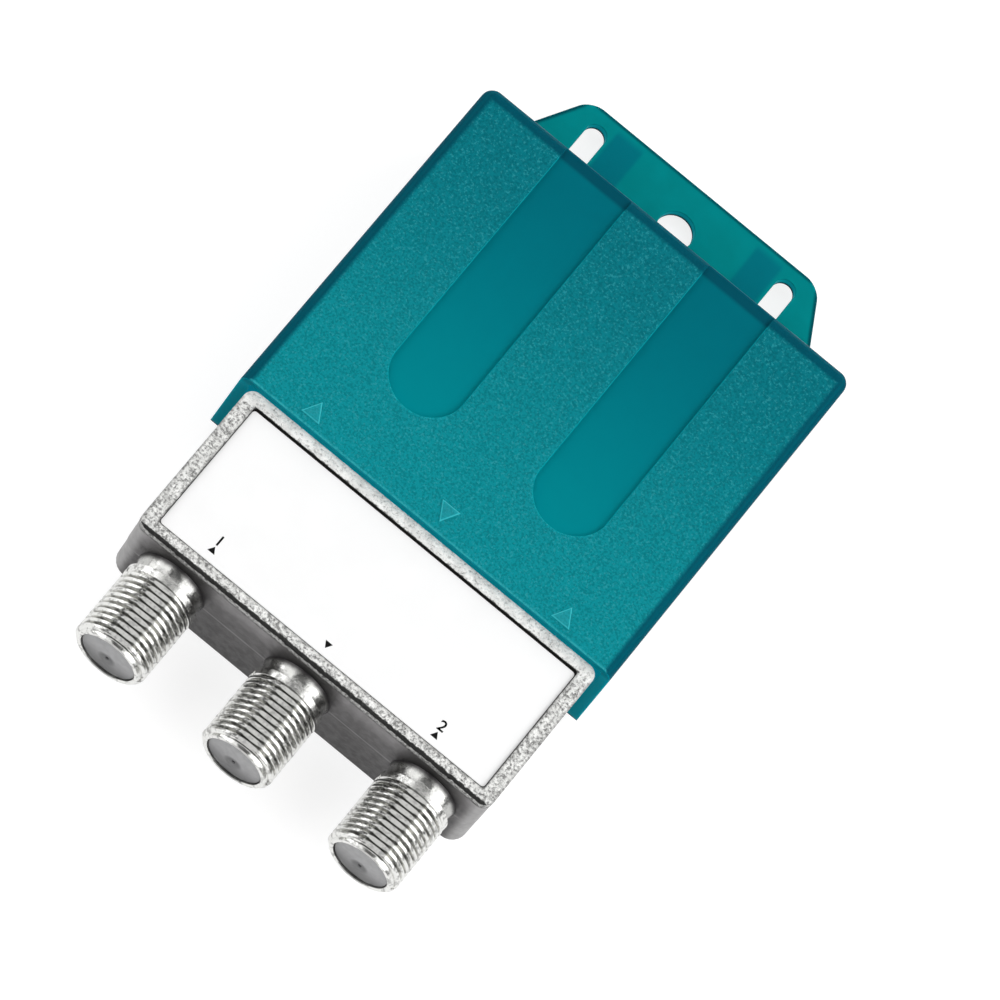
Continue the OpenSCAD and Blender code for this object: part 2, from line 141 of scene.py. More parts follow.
class CoverSizes(bpy.types.PropertyGroup):
    """Sizes of the weather cover and its back plate."""

    side_wall: length("Side wall", "Thickness of the two side walls", 0.0013)
    front_wall: length("Front wall", "Thickness of the front panel", 0.001)
    top_wall: length("Top wall", "Thickness of the closed top", 0.0012)
    room_corner: length("Room corner", "Radius of the room's corners at the closed top", 0.0005)
    draft: length("Draft", "How far the side walls' outer faces spread to the back", 0.0002)
    edge: length("Edge radius", "Radius of the front edges and top corners", 0.0015)
    heel: length("Heel radius", "Radius of the side walls' rear corners at the mouth", 0.0025)
    mouth_edge: length("Mouth edge", "Rounding of the mouth's outer edge", 0.00018)
    channel_width: length("Channel width", "Width of each grip channel", 0.0096)
    channel_depth: length("Channel depth", "Depth of the grip channels", 0.00045)
    channel_place: length("Channel place", "Distance of each channel from the middle", 0.01035)
    channel_rise: length("Channel rise", "Height of a channel's round end above the mouth", 0.0094)
    channel_foot: length("Channel foot", "Rounding along a channel's floor", 0.0002)
    channel_brink: length("Channel brink", "Rounding along a channel's upper edge", 0.00012)
    arrow_width: length("Arrow width", "Width of a moulded arrow at its base", 0.0031)
    arrow_height: length("Arrow height", "Height of a moulded arrow", 0.0029)
    arrow_relief: length("Arrow relief", "How far a moulded arrow stands off the panel", 0.00022)
    arrow_edge: length("Arrow edge", "Rounding of a moulded arrow's crown", 0.00006)
    arrow_rise: length("Arrow rise", "Height of an arrow's lower side above the mouth", 0.0009)
    taper_drop: length("Taper drop", "How far below the cover's top the plate starts to narrow", 0.0011)
    flange_width: length("Flange width", "Width of the flange at its free edge", 0.0337)
    flange_corner: length("Flange corner", "Radius of the flange's free corners", 0.0018)
    plate_wall: length("Plate wall", "Thickness of the back plate", 0.0013)
    slot_width: length("Slot width", "Width of a tie slot", 0.0027)
    slot_length: length("Slot length", "Length of a tie slot", 0.009)
    slot_place: length("Slot place", "Distance of each tie slot from the middle", 0.014)
    slot_margin: length("Slot margin", "Gap between a slot and the flange's free edge", 0.0019)
    rib_width: length("Rib width", "Width of a back rib", 0.00375)
    rib_margin: length("Rib margin", "Gap between a rib's upper end and the flange's free edge", 0.0005)
    rib_chamfer: length("Rib chamfer", "Chamfer at a rib's ends", 0.0006)


class CastingSizes(bpy.types.PropertyGroup):
    """Sizes of the die-cast box and its lid."""

    height: length("Box height", "Height of the box along the cover's length", 0.0212)
    wall: length("Wall", "Thickness of the casting's side walls", 0.0015)
    face: length("Face", "Thickness of the casting's face at its rim", 0.0016)
    front_corner: length("Front corner", "Radius of the corners in front of the parting line", 0.0013)
    rear_corner: length("Rear corner", "Radius of the corners behind the parting line", 0.002)
    rear_edge: length("Rear edge", "Rounding of the box's rear edges", 0.0004)
    rim_side: length("Rim at the sides", "Width of the raised rim at the sides of the label", 0.00185)
    rim_end: length("Rim at the ends", "Width of the raised rim above and below the label", 0.0016)
    rim_drop: length("Rim drop", "Depth of the rough band that the rim makes round the box", 0.0013)
    rim_edge: length("Rim edge", "Rounding of the rim's edge over the ports", 0.0005)
    rim_soft: length("Rim softness", "Rounding of the rim's other edges", 0.00015)
    recess: length("Recess", "Depth of the label recess", 0.0005)
    recess_corner: length("Recess corner", "Radius of the recess's corners", 0.0004)
    recess_edge: length("Recess edge", "Rounding of the rim's edge round the recess", 0.0001)
    flash: length("Flash", "How far the walls stand back from the rim", 0.00006)
    lid_rim: length("Lid rim", "Width of the casting's edge round the lid", 0.0007)
    lid_wall: length("Lid wall", "Thickness of the rear lid", 0.0008)
    lid_margin: length("Lid margin", "Width of the lid's flat edge round its pressed panel", 0.002)
    lid_press: length("Lid press", "Depth of the lid's pressed panel", 0.0002)
    lid_edge: length("Lid edge", "Rounding along the brink of the lid's pressed panel", 0.00012)
    post: length("Post", "Side of the square posts that carry the board", 0.003)
    peg: length("Peg", "Diameter of the two locating pegs", 0.0016)


class PortSizes(bpy.types.PropertyGroup):
    """Sizes of the three threaded ports and their insulators."""

    root: length("Root", "How much wider a port's neck is at the box", 0.00036)
    neck: length("Neck", "Radius of the neck at the collar", 0.00415)
    collar_taper: length("Collar taper", "How much narrower the collar is at the thread", 0.0001)
    shoulder: length("Shoulder", "Distance of the collar's shoulder from the box", 0.00175)
    collar: length("Collar", "Length of the plain collar", 0.00095)
    pitch: length("Thread pitch", "Distance between two turns of the thread", 0.000794)
    thread_depth: length("Thread depth", "Depth of the thread", 0.00045)
    tip: length("Tip", "Radius of the end face inside its chamfer", 0.00415)
    bore: length("Bore", "Radius of the bore that holds the insulator", 0.00365)
    stub: length("Stub", "Radius of the hole through the box wall", 0.00205)
    flat: length("Flat", "Distance of the flat down the front from the port's axis", 0.00452)
    boss: length("Boss", "Radius of the insulator's middle boss", 0.0012)
    entry: length("Entry", "Radius of the entry hole in the insulator", 0.00022)
    proud: length("Proud", "How far the insulator's edge stands past its CAD face", 0.00026)
    dome: length("Dome", "Rise of the insulator's face from its edge to the boss", 0.0001)
    boss_rise: length("Boss rise", "Height of the insulator's boss", 0.00012)


class Colours(bpy.types.PropertyGroup):
    """Colours of the finishes."""

    # The colours by the closed top are those by the mouth with painted shade, darker towards the top
    cover_low: colour("Cover, low", "Grained panel by the mouth", (0.006, 0.262, 0.300))
    cover_top: colour("Cover, top", "Grained panel by the closed top", (0.004, 0.172, 0.210))
    smooth_low: colour("Smooth, low", "Smooth plastic by the mouth", (0.0005, 0.232, 0.268))
    smooth_top: colour("Smooth, top", "Smooth plastic by the closed top", (0.0005, 0.138, 0.178))
    # Painted shade on the cover's rounded front edges
    cover_edge_shade: colour("Cover edge", "Thick rounded edges of the cover", (0.0015, 0.070, 0.106))
    # End faces painted lighter, as light that comes through the plastic
    cover_end_lit: colour("Cover end", "End faces at the mouth", (0.0005, 0.37, 0.47))
    # Inside faces painted lighter, as light that comes through the wall
    cover_inside: colour("Cover inside", "Inside faces of the cover", (0.004, 0.42, 0.50))
    cover_glow: colour("Cover glow", "Light that the clear plastic lets through", (0.001, 0.10, 0.13))
    # Painted glints in the grain and painted highlights on the arrows and along the mouth
    cover_glint: colour("Cover spark", "Bright specks in the grain and at the mouth", (0.030, 0.330, 0.370))
    flange: colour("Flange", "Flange of the back plate", (0.001, 0.225, 0.236))
    # Painted shade on the flange where a rib stands behind it
    flange_rib_shade: colour("Flange, deep", "Flange where a rib stands behind it", (0.001, 0.150, 0.195))
    # Painted shade along the flange's outline and at the back of its cut edges
    flange_edge_shade: colour("Flange edge", "Cut edges of the flange", (0.001, 0.060, 0.078))
    rim: colour("Rim", "Rough-cast rim", (0.93, 0.93, 0.91))
    # Flecks and dull patches of the rough cast, and painted shade along the rim's brinks
    rim_fleck_and_shade: colour("Rim, deep", "Flecks in the rough-cast rim", (0.17, 0.17, 0.165))
    wall: colour("Wall", "Satin walls of the casting", (0.066, 0.0635, 0.0645))
    # Painted highlights on the walls' corners and along the parting line
    wall_highlight: colour("Wall, bright", "Corners and parting line of the walls", (0.34, 0.335, 0.335))
    # These two colours are painted shade in the gap round the label, darkest above it; the first is also a
    # painted dark reflection along the rim's edge over the ports
    seam: colour("Seam", "Dark oxide above the label and under the rim", (0.006, 0.006, 0.0055))
    seam_shade_pale: colour("Seam, pale", "Oxide along the label's other sides", (0.12, 0.12, 0.115))
    thread: colour("Thread", "Nickel of the ports, down the flats", (0.48, 0.48, 0.465))
    thread_flank: colour("Thread, flank", "Nickel of the ports beside the flats", (0.74, 0.74, 0.72))
    thread_deep: colour("Thread, deep", "Dull patches of the ports' nickel", (0.36, 0.36, 0.35))
    label: colour("Label", "Printed film", (0.9, 0.9, 0.9))
    ink: colour("Ink", "Print on the label", (0.004, 0.004, 0.004))
    insulator: colour("Insulator", "Grey plastic in the ports", (0.72, 0.72, 0.73))
    # Painted shade on the lower part and the middle of the insulator's face
    insulator_shade: colour("Insulator, deep", "Middle of the insulator", (0.17, 0.17, 0.175))


class StageSettings(bpy.types.PropertyGroup):
    """Camera, floor and lamps."""

    lens: amount("Lens", "Focal length on a 36 mm sensor, in millimetres", 317.0)
    distance: length("Distance", "Distance of the camera from the point that it looks at", 0.97333)
    tilt: amount("Tilt", "Tilt of the view from straight down, in degrees", 24.973)
    turn: amount("Turn", "Turn of the picture round the view, in degrees", 39.57)
    sway: amount("Sway", "Sideways lean of the view, in degrees", 0.4)
    floor_glow: amount("Floor glow", "White that the floor adds for the camera and in reflections", 0.8)
    floor_tone: amount("Floor tone", "Share of the light that the floor throws back", 0.34)
    sky: amount("Sky", "Strength of the grey surroundings", 0.2)
    side: amount("Side lamps", "Power of the right side lamp in watts; the left one has 3/5", 1.9)
    front: amount("Front lamps", "Power of the lamp right of the ports in watts; the left one has 3/4", 1.7)
    top: amount("Top lamp", "Power of the lamp above the flange, in watts", 1.35)


class SwitchSettings(bpy.types.PropertyGroup):
    """All sizes and colours of the model."""

    cover: PointerProperty(type=CoverSizes)
    casting: PointerProperty(type=CastingSizes)
    ports: PointerProperty(type=PortSizes)
    colours: PointerProperty(type=Colours)
    stage: PointerProperty(type=StageSettings)


# Modelling tools


def use(obj):
    """Makes one object the active and only selected one, in object mode."""
    if bpy.context.object and bpy.context.object.mode != "OBJECT":
        bpy.ops.object.mode_set(mode="OBJECT")
    bpy.ops.object.select_all(action="DESELECT")
    if obj is not None:
        bpy.context.view_layer.objects.active = obj
        obj.select_set(True)
    return obj


def settle(name):
    """Names the primitive just added and puts its place into its mesh."""
    obj = bpy.context.object
    obj.name = name
    bpy.ops.object.transform_apply(location=True, rotation=True, scale=True)
    return obj


def block(name, low, high):
    """A box between two corners."""
    use(None)
    low, high = Vector(low), Vector(high)
    bpy.ops.mesh.primitive_cube_add(size=1, location=(low + high) / 2, scale=high - low)
    return settle(name)


def pin(name, radius, depth, location, vertices, along_y=False):
    """A round pin that stands upright or lies along Y."""
    use(None)
    bpy.ops.mesh.primitive_cylinder_add(vertices=vertices, radius=radius, depth=depth, location=location,
                                        rotation=(math.pi / 2 if along_y else 0, 0, 0))
    return settle(name)


def wedge(name, foot, crown, depth, location=(0, 0, 0)):
    """A flat prism or frustum with three sides, whose point looks along Y."""
    use(None)
    bpy.ops.mesh.primitive_cone_add(vertices=3, radius1=foot, radius2=crown, depth=depth, location=location)
    return settle(name)


def stretch(obj, y, factor):
    """Stretches a mesh along Y about a place, and keeps its faces outwards where that turns it over."""
    obj.data.transform(Matrix.Translation((0, y, 0)) @ Matrix.Diagonal((1, factor, 1, 1))
                       @ Matrix.Translation((0, -y, 0)))
    if factor < 0:
        obj.data.flip_normals()
    return obj


def pick(obj, kind, test):
    """Enters edit mode with just the vertices, edges or faces selected that pass the test."""
    if bpy.context.object != obj or obj.mode != "EDIT":
        use(obj)
        bpy.ops.object.mode_set(mode="EDIT")
    bpy.ops.mesh.select_mode(type=kind)
    bpy.ops.mesh.select_all(action="DESELECT")
    mesh = bmesh.from_edit_mesh(obj.data)
    for item in {"VERT": mesh.verts, "EDGE": mesh.edges, "FACE": mesh.faces}[kind]:
        if test(item):
            item.select_set(True)
    mesh.select_flush_mode()
    bmesh.update_edit_mesh(obj.data)


def middle(edge):
    """Middle of an edge."""
    return (edge.verts[0].co + edge.verts[1].co) / 2


def runs(edge, axis):
    """True if an edge runs along the axis with that number."""
    way = edge.verts[1].co - edge.verts[0].co
    return abs(way[axis]) > 0.99 * way.length


def level(edge, height):
    """True if both ends of an edge lie at that height."""
    return all(abs(v.co.z - height) < NEAR for v in edge.verts)


def sharp(edge, degrees=40):
    """True if an edge's two faces meet at more than that angle."""
    return len(edge.link_faces) == 2 and edge.calc_face_angle(0) > math.radians(degrees)


def round_edges(obj, radius, segments, test):
    """Rounds the edges that pass the test."""
    pick(obj, "EDGE", test)
    bpy.ops.mesh.bevel(offset=radius, segments=segments, profile=0.5, affect="EDGES", clamp_overlap=True)
    use(obj)


def round_brim(obj, radius, segments, height, test=lambda place: True, degrees=40):
    """Rounds the sharp edges at that height whose middle passes the test."""
    round_edges(obj, radius, segments, lambda e: level(e, height) and sharp(e, degrees) and test(middle(e)))


def soft_block(name, low, high, corner, top=0.0, bottom=0.0):
    """A box with rounded upright corners, and rounded top or bottom edges where a radius is given."""
    obj = block(name, low, high)
    round_edges(obj, corner, 6, lambda e: runs(e, 2))
    if top:
        round_brim(obj, top, 4, high[2])
    if bottom:
        round_brim(obj, bottom, 3, low[2])
    return obj


def stadium(name, x, radius, y_span, z_span, vertices=64):
    """A bar with two round ends that lies along Y: a cylinder whose far half is pulled out."""
    (low_y, high_y), (low_z, high_z) = y_span, z_span
    obj = pin(name, radius, high_z - low_z, (x, low_y, (low_z + high_z) / 2), vertices)
    pick(obj, "VERT", lambda v: v.co.y > low_y + NEAR)
    bpy.ops.transform.translate(value=(0, high_y - low_y, 0))
    return use(obj)


def apply(obj, kind, **settings):
    """Adds a modifier with its settings and applies it."""
    use(obj)
    step = obj.modifiers.new(kind.lower(), kind)
    for key, value in settings.items():
        setattr(step, key, value)
    bpy.ops.object.modifier_apply(modifier=step.name)
    return obj


def combine(target, tool, how):
    """Joins, cuts or crosses the target with a tool object, which is used up."""
    apply(target, "BOOLEAN", operation=how, object=tool, solver="EXACT", material_mode="TRANSFER")
    bpy.data.objects.remove(tool)
    return target


def drawn_line(name, points, closed=False):
    """A line of edges in the XY plane, drawn by extruding one vertex from point to point."""
    use(None)
    bpy.ops.mesh.primitive_plane_add(size=1)
    obj = settle(name)
    bpy.ops.object.mode_set(mode="EDIT")
    bpy.ops.mesh.select_mode(type="VERT")
    bpy.ops.mesh.select_all(action="SELECT")
    bpy.ops.mesh.merge(type="CENTER")
    spots = [Vector((x, y, 0)) for x, y in points]
    bpy.ops.transform.translate(value=spots[0])
    for before, after in zip(spots, spots[1:]):
        bpy.ops.mesh.extrude_vertices_move(TRANSFORM_OT_translate={"value": after - before})
    if closed:
        pick(obj, "VERT", lambda v: len(v.link_edges) == 1)
        bpy.ops.mesh.edge_face_add()
    return obj


def face_outwards(obj):
    """Welds doubled points, drops loose ones and turns every face outwards."""
    use(obj)
    bpy.ops.object.mode_set(mode="EDIT")
    bpy.ops.mesh.select_mode(type="VERT")
    bpy.ops.mesh.select_all(action="SELECT")
    bpy.ops.mesh.remove_doubles(threshold=WELD)
    bpy.ops.mesh.delete_loose()
    bpy.ops.mesh.select_all(action="SELECT")
    bpy.ops.mesh.normals_make_consistent(inside=False)
    return use(obj)


def lathe(name, points, closed, steps=96):
    """A line of (radius, place along Y) points spun round the Y axis."""
    obj = drawn_line(name, points, closed)
    bpy.ops.mesh.select_all(action="SELECT")
    bpy.ops.mesh.spin(steps=steps, angle=math.tau, center=(0, 0, 0), axis=(0, 1, 0))
    return face_outwards(obj)


def move(obj, x, y, z):
    """Shifts an object's mesh."""
    obj.data.transform(Matrix.Translation((x, y, z)))
    return obj


def copy_of(obj, name):
    """A copy with a mesh of its own."""
    twin = obj.copy()
    twin.data = obj.data.copy()
    twin.name = name
    bpy.context.scene.collection.objects.link(twin)
    return twin


def paint(obj, material, test=None):
    """Gives a material to all faces, or to those whose middle, in millimetres, passes the test."""
    if test is None:
        obj.data.materials.clear()
    obj.data.materials.append(material)
    index = len(obj.data.materials) - 1
    for face in obj.data.polygons:
        if test is not None and test(face):
            face.material_index = index
    return obj


def seat(obj, name, body, nodes, smooth=35):
    """Finishes a piece: it turns to metres, its shading is set, and it takes its body and nodes."""
    use(obj)
    obj.name = name
    obj.data.name = name
    obj.scale = (MM, MM, MM)
    bpy.ops.object.transform_apply(location=True, rotation=True, scale=True)
    bpy.ops.object.shade_smooth_by_angle(angle=math.radians(smooth))
    apply(obj, "WEIGHTED_NORMAL", keep_sharp=True)
    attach(obj, body)
    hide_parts(*nodes)


# Materials


def shade(colour, factor):
    """A colour made darker or brighter by a factor."""
    return [factor * c for c in colour]


def joined_by(how):
    """A method that puts one or two values through the math node's operation of that name."""
    return lambda first, second=0.0: first.finish.math(how, first, second)


class Value:
    """A number or colour that varies over the surface. Arithmetic on a number adds math nodes."""

    def __init__(self, finish, socket):
        self.finish, self.socket = finish, socket

    def __rsub__(self, first):
        """A plain number less this value."""
        return self.finish.math("SUBTRACT", first, self)

    __add__, __sub__, __mul__ = joined_by("ADD"), joined_by("SUBTRACT"), joined_by("MULTIPLY")
    __truediv__, __abs__, __round__ = joined_by("DIVIDE"), joined_by("ABSOLUTE"), joined_by("ROUND")
    most, least, root = joined_by("MAXIMUM"), joined_by("MINIMUM"), joined_by("SQRT")


class Finish:
    """A material with one Principled shader, and short methods that add the nodes for its variation."""

    def __init__(self, name, base, roughness, **constants):
        self.material = bpy.data.materials.new(name)
        self.material.use_nodes = True
        self.tree = self.material.node_tree
        self.shader = self.tree.nodes["Principled BSDF"]
        self.shader.inputs["Base Color"].default_value = (*base, 1)
        self.shader.inputs["Roughness"].default_value = roughness
        for socket, value in constants.items():
            self.shader.inputs[socket.replace("_", " ")].default_value = value
        self.place = self.add("ShaderNodeTexCoord", "Object")

    def add(self, kind, output, sockets=None, **settings):
        """Adds a node, sets its settings, joins or fills its sockets, and gives one of its outputs."""
        made = self.tree.nodes.new(kind)
        for key, value in settings.items():
            setattr(made, key, value)
        for key, value in (sockets or {}).items():
            self.feed(made.inputs[key], value)
        return Value(self, made.outputs[output])

    def feed(self, socket, value):
        """Joins a socket to a varying value, or fills it with a plain one."""
        if isinstance(value, Value):
            self.tree.links.new(value.socket, socket)
        else:
            socket.default_value = value

    def drive(self, socket, value):
        """Feeds one of the shader's own sockets."""
        self.feed(self.shader.inputs[socket], value)

    def axis(self, name):
        """One coordinate of the object's own space, in metres."""
        return self.add("ShaderNodeSeparateXYZ", name, {"Vector": self.place})

    def off_port(self, pitch):
        """Distance across from the nearest port's axis, in metres."""
        return self.axis("X") - round(self.axis("X") / pitch) * pitch

    def noise(self, grain, rough=0.5, detail=3):
        """Cloudy noise whose clouds are about that size in metres."""
        return self.add("ShaderNodeTexNoise", "Fac", {"Vector": self.place, "Scale": 1 / grain,
                                                      "Detail": detail, "Roughness": rough})

    def cells(self, grain):
        """Cell noise whose cells are about that size in metres."""
        return self.add("ShaderNodeTexVoronoi", "Distance", {"Vector": self.place, "Scale": 1 / grain})

    def band(self, value, low, high, first=0.0, last=1.0):
        """A smooth step from the first value to the last while the input goes from low to high."""
        return self.add("ShaderNodeMapRange", "Result", {"Value": value, "From Min": low, "From Max": high,
                                                         "To Min": first, "To Max": last},
                        interpolation_type="SMOOTHSTEP")

    def near(self, value, place, low, high, first=0.0, last=1.0):
        """A smooth step between two distances in millimetres past a place in metres."""
        return self.band(value, place + low * MM, place + high * MM, first, last)

    def math(self, how, first, second):
        """Two values put through the math node's operation of that name."""
        return self.add("ShaderNodeMath", 0, {0: first, 1: second}, operation=how)

    def tint(self, share, first, second):
        """A mix of two colours."""
        first, second = (c if isinstance(c, Value) else (*c, 1) for c in (first, second))
        return self.add("ShaderNodeMix", 2, {0: share, 6: first, 7: second}, data_type="RGBA")

    def clouded(self, colour, factor, grain):
        """A colour with soft clouds of a darker shade."""
        return self.tint(self.band(self.noise(grain), 0.3, 0.7), colour, shade(colour, factor))

    def relief(self, height, depth):
        """Bumps the surface by a height from 0 to 1 times a depth in metres."""
        bump = self.add("ShaderNodeBump", "Normal", {"Height": height, "Distance": depth, "Strength": 1.0})
        self.drive("Normal", bump)


def cover_finish(colours, low, high, edge):
    """Slightly clear moulded plastic, grained on the panel, smooth elsewhere, with painted shade and
    highlights.
    """
    f = Finish("grained_polypropylene", colours.cover_low, 0.42, Specular_IOR_Level=0.005,
               Subsurface_Weight=0.5, Subsurface_Radius=(0.1, 1.0, 1.0), Subsurface_Scale=0.0015)
    x, y, z = f.axis("X"), f.axis("Y"), f.axis("Z")
    # Painted shade: the plastic darker towards the closed top and lighter towards the mouth
    rise = f.band(y, low.y, high.y)
    panel = f.near(z, high.z, -0.25, -0.12)
    fine = f.noise(0.00025, detail=2)
    # Painted glints: bright specks in the grain
    glints = f.band(f.noise(0.00028, detail=2), 0.54, 0.70)
    plain = f.tint(rise, colours.cover_low, colours.cover_top)
    deep = f.tint(rise, shade(colours.cover_low, 0.74), shade(colours.cover_top, 0.74))
    grained = f.tint(f.band(fine, 0.34, 0.60), deep, plain)
    lively = f.tint(glints * 0.5, grained, colours.cover_glint)
    smooth = f.tint(rise, colours.smooth_low, colours.smooth_top)
    # Painted light: the channels' side walls lighter than their floors
    step = f.near(z, high.z, -0.43, -0.34) * f.near(z, high.z, -0.12, -0.04, 1.0, 0.0)
    smooth = f.tint(step, smooth, shade(colours.smooth_low, 1.4))
    front = f.tint(panel, smooth, lively)
    # Painted highlights on the arrows' sloping sides and crowns
    flank = f.near(z, high.z, 0.03, 0.08)
    crown = f.near(z, high.z, 0.15, 0.2)
    arrow = f.tint(crown, shade(colours.cover_glint, 1.4), f.tint(0.35, lively, colours.cover_glint))
    front = f.tint(flank, front, arrow)
    # Painted shade on the rounded side and top edges
    side = f.near(abs(x), high.x - edge, -0.05, 0.6)
    top = f.near(y, high.y - edge, -0.7, -0.1)
    front = f.tint(side.most(top) * 0.92, front, colours.cover_edge_shade)
    # Painted highlight along the brink of the mouth
    brink = f.near(y, low.y, 0.15, 0.4, 1.0, 0.0) * f.near(z, high.z, -0.2, -0.05)
    front = f.tint(brink * f.band(fine, 0.35, 0.6, 0.4, 1.0), front, colours.cover_glint)
    # End faces painted lighter as light through the plastic, with painted shade towards the front
    end_face = f.tint(f.near(z, high.z, -1.8, -0.8), colours.cover_end_lit,
                      shade(colours.cover_end_lit, 0.66))
    end = f.near(y, low.y, 0.02, 0.08, 1.0, 0.0)
    f.drive("Base Color", f.tint(end, front, end_face))
    f.drive("Roughness", f.band(panel, 0.0, 1.0, 0.25, 0.45))
    f.relief((fine * 0.7 + f.noise(0.0011) * 0.4) * (panel * 0.96 + 0.04), 0.00008)
    return f.material


def flange_finish(colours, rib_place, rib_half, rib_top, taper):
    """The same plastic on the back plate, with painted shade along its outline and where a rib is behind it.
    """
    f = Finish("smooth_polypropylene", colours.flange, 0.3, Specular_IOR_Level=0.005,
               Subsurface_Weight=0.5, Subsurface_Radius=(0.1, 1.0, 1.0), Subsurface_Scale=0.0015)
    across, y = abs(f.axis("X")), f.axis("Y")
    # Painted shade where a rib stands behind the flange
    rib = (f.near(abs(across - rib_place), rib_half, -0.3, 0.3, 1.0, 0.0)
           * f.near(y, rib_top, -1.2, 0.0, 1.0, 0.0))
    plain = f.tint(rib * 0.9, f.clouded(colours.flange, 0.93, 0.003), colours.flange_rib_shade)
    # Painted shade along the flange's free edge and tapered sides
    wide, narrow, start, end = taper
    half = wide - (y - start) * ((wide - narrow) / (end - start))
    inset = (end - y).least((half - across) * 0.85)
    outline = f.band(inset, 0.0002, 0.0006, 0.95, 0.0)
    f.drive("Base Color", f.tint(outline, plain, colours.flange_edge_shade))
    f.relief(f.noise(0.0006), 0.000012)
    return f.material


def inside_finish(colours):
    """The plastic's inside faces, which glow faintly in place of the light that comes through the wall."""
    f = Finish("lit_polypropylene", colours.cover_inside, 0.5, Specular_IOR_Level=0.005,
               Emission_Color=(*colours.cover_glow, 1), Emission_Strength=1.0)
    f.drive("Base Color", f.clouded(colours.cover_inside, 0.85, 0.004))
    f.relief(f.noise(0.0008), 0.00001)
    return f.material


def cut_edge_finish(colours, low_z):
    """The plate's cut edges: painted shade along the back, lit elsewhere as if light came through them."""
    f = Finish("cut_polypropylene", colours.flange_edge_shade, 0.35, Specular_IOR_Level=0.005,
               Emission_Strength=1.0)
    # Painted shade along the back of the cut edges
    depth = f.near(f.axis("Z"), low_z, 0.22, 0.5)
    f.drive("Base Color", f.tint(depth, colours.flange_edge_shade, colours.flange))
    f.drive("Emission Color", f.tint(depth, (0.0, 0.0, 0.0), colours.cover_glow))
    f.relief(f.noise(0.0005), 0.00001)
    return f.material


def rim_finish(colours, p, low_y, high):
    """Bright rough-cast nickel, dull down its sides, with painted light and shade and a painted dark
    reflection.
    """
    f = Finish("rough_cast_nickel", colours.rim, 0.45, Metallic=0.1)
    across, y, fall = abs(f.axis("X")), f.axis("Y"), high.z - f.axis("Z")
    middle_y = (low_y + high.y) / 2
    half_x, half_y = high.x - p.rim_side, (high.y - low_y) / 2 - p.rim_end
    lumps = f.noise(0.00032, 0.6)
    # Painted light: brighter, with paler and fewer flecks, along the side by the cover
    by_cover = f.near(y, middle_y + half_y, -0.3, 0.3)
    flecks = f.tint(by_cover, colours.rim_fleck_and_shade, shade(colours.rim_fleck_and_shade, 2.2))
    bright = f.tint(by_cover, colours.rim, (1.0, 0.99, 0.965))
    bright = f.tint(f.band(lumps + by_cover * 0.1, 0.32, 0.62), flecks, bright)
    bright = f.tint(f.band(f.noise(0.0016), 0.35, 0.65, 0.0, 0.25), bright, colours.rim_fleck_and_shade)
    bright = f.tint(f.band(fall, p.rim_edge + 0.0002, p.rim_drop), bright, colours.wall)
    wobble = (f.noise(0.0006, 0.6) - 0.5) * 0.0005
    # Painted dark reflection along the rim's rounded edge over the ports
    line = (f.near(y - low_y + wobble, p.rim_edge, -0.14, -0.04, 1.0, 0.0)
            * f.band(fall + wobble, 0.00033, 0.00041, 1.0, 0.0))
    beyond = (across - half_x).most(abs(y - middle_y) - half_y)
    # Painted shade along the rim's brinks round the recess and down its outer sides, weaker by the cover
    brink_shade = f.band(beyond, 0.00005, 0.0004, 1.0, 0.0).most(f.near(across, high.x, -0.35, -0.1))
    bright = f.tint(brink_shade * f.band(by_cover, 0.0, 1.0, 0.4, 0.1), bright, colours.rim_fleck_and_shade)
    # Painted shade in the gap round the label, darker by the cover
    shade_round_label = f.band(beyond + wobble, 0.00002, 0.00012, 1.0, 0.0) * (by_cover * 0.3 + 0.65)
    f.drive("Base Color", f.tint(line.most(shade_round_label), bright, colours.seam))
    f.drive("Roughness", f.band(lumps, 0.3, 0.7, 0.5, 0.35))
    f.relief(lumps * 0.75 + f.band(f.cells(0.0004), 0.12, 0.5) * 0.25, 0.00022)
    return f.material


def wall_finish(colours, low, high):
    """Satin die-cast walls, with painted shade and painted highlights at the corners, rim and parting line.
    """
    f = Finish("satin_cast_nickel", colours.wall, 0.42, Metallic=1.0)
    z, wall = f.axis("Z"), colours.wall
    plain = f.tint(f.band(f.noise(0.0021, 0.6, 4), 0.3, 0.7), shade(wall, 0.9), shade(wall, 1.1))
    # Painted shade: darker towards the back, brighter towards the front
    plain = f.tint(0.6, plain, f.tint(f.band(z, low.z, high.z), shade(wall, 0.75), shade(wall, 2.2)))
    # Painted light: a brighter band under the rim
    by_rim = f.near(z, high.z, -4.8, -1.2)
    plain = f.tint(by_rim * 0.6, plain, shade(wall, 4.5))
    # Painted highlight on the rounded corners
    corner = f.near(abs(f.axis("X")), high.x, -2.2, -0.8)
    plain = f.tint(corner * 0.9, plain, colours.wall_highlight)
    # Painted highlight along the parting line
    parting_highlight = f.band(abs(z - (low.z + high.z) / 2), 0.00002, 0.00018, 1.0, 0.0)
    f.drive("Base Color", f.tint(parting_highlight * 0.4, plain, colours.wall_highlight))
    f.drive("Roughness", f.band(f.noise(0.0009), 0.3, 0.7, 0.36, 0.5))
    f.relief(f.noise(0.00028, 0.6), 0.00003)
    return f.material


def seam_shade_finish(colours, high_y):
    """Painted shade in the recess round the label, darkest along its side by the cover."""
    f = Finish("seam_oxide", colours.seam, 0.7, Metallic=0.4)
    ragged = (f.noise(0.0005, 0.6) - 0.5) * 0.0004
    by_cover = f.near(f.axis("Y") + ragged, high_y, -0.6, -0.3)
    f.drive("Base Color", f.tint(by_cover, colours.seam_shade_pale, colours.seam))
    f.relief(f.noise(0.0004, 0.6), 0.00008)
    return f.material


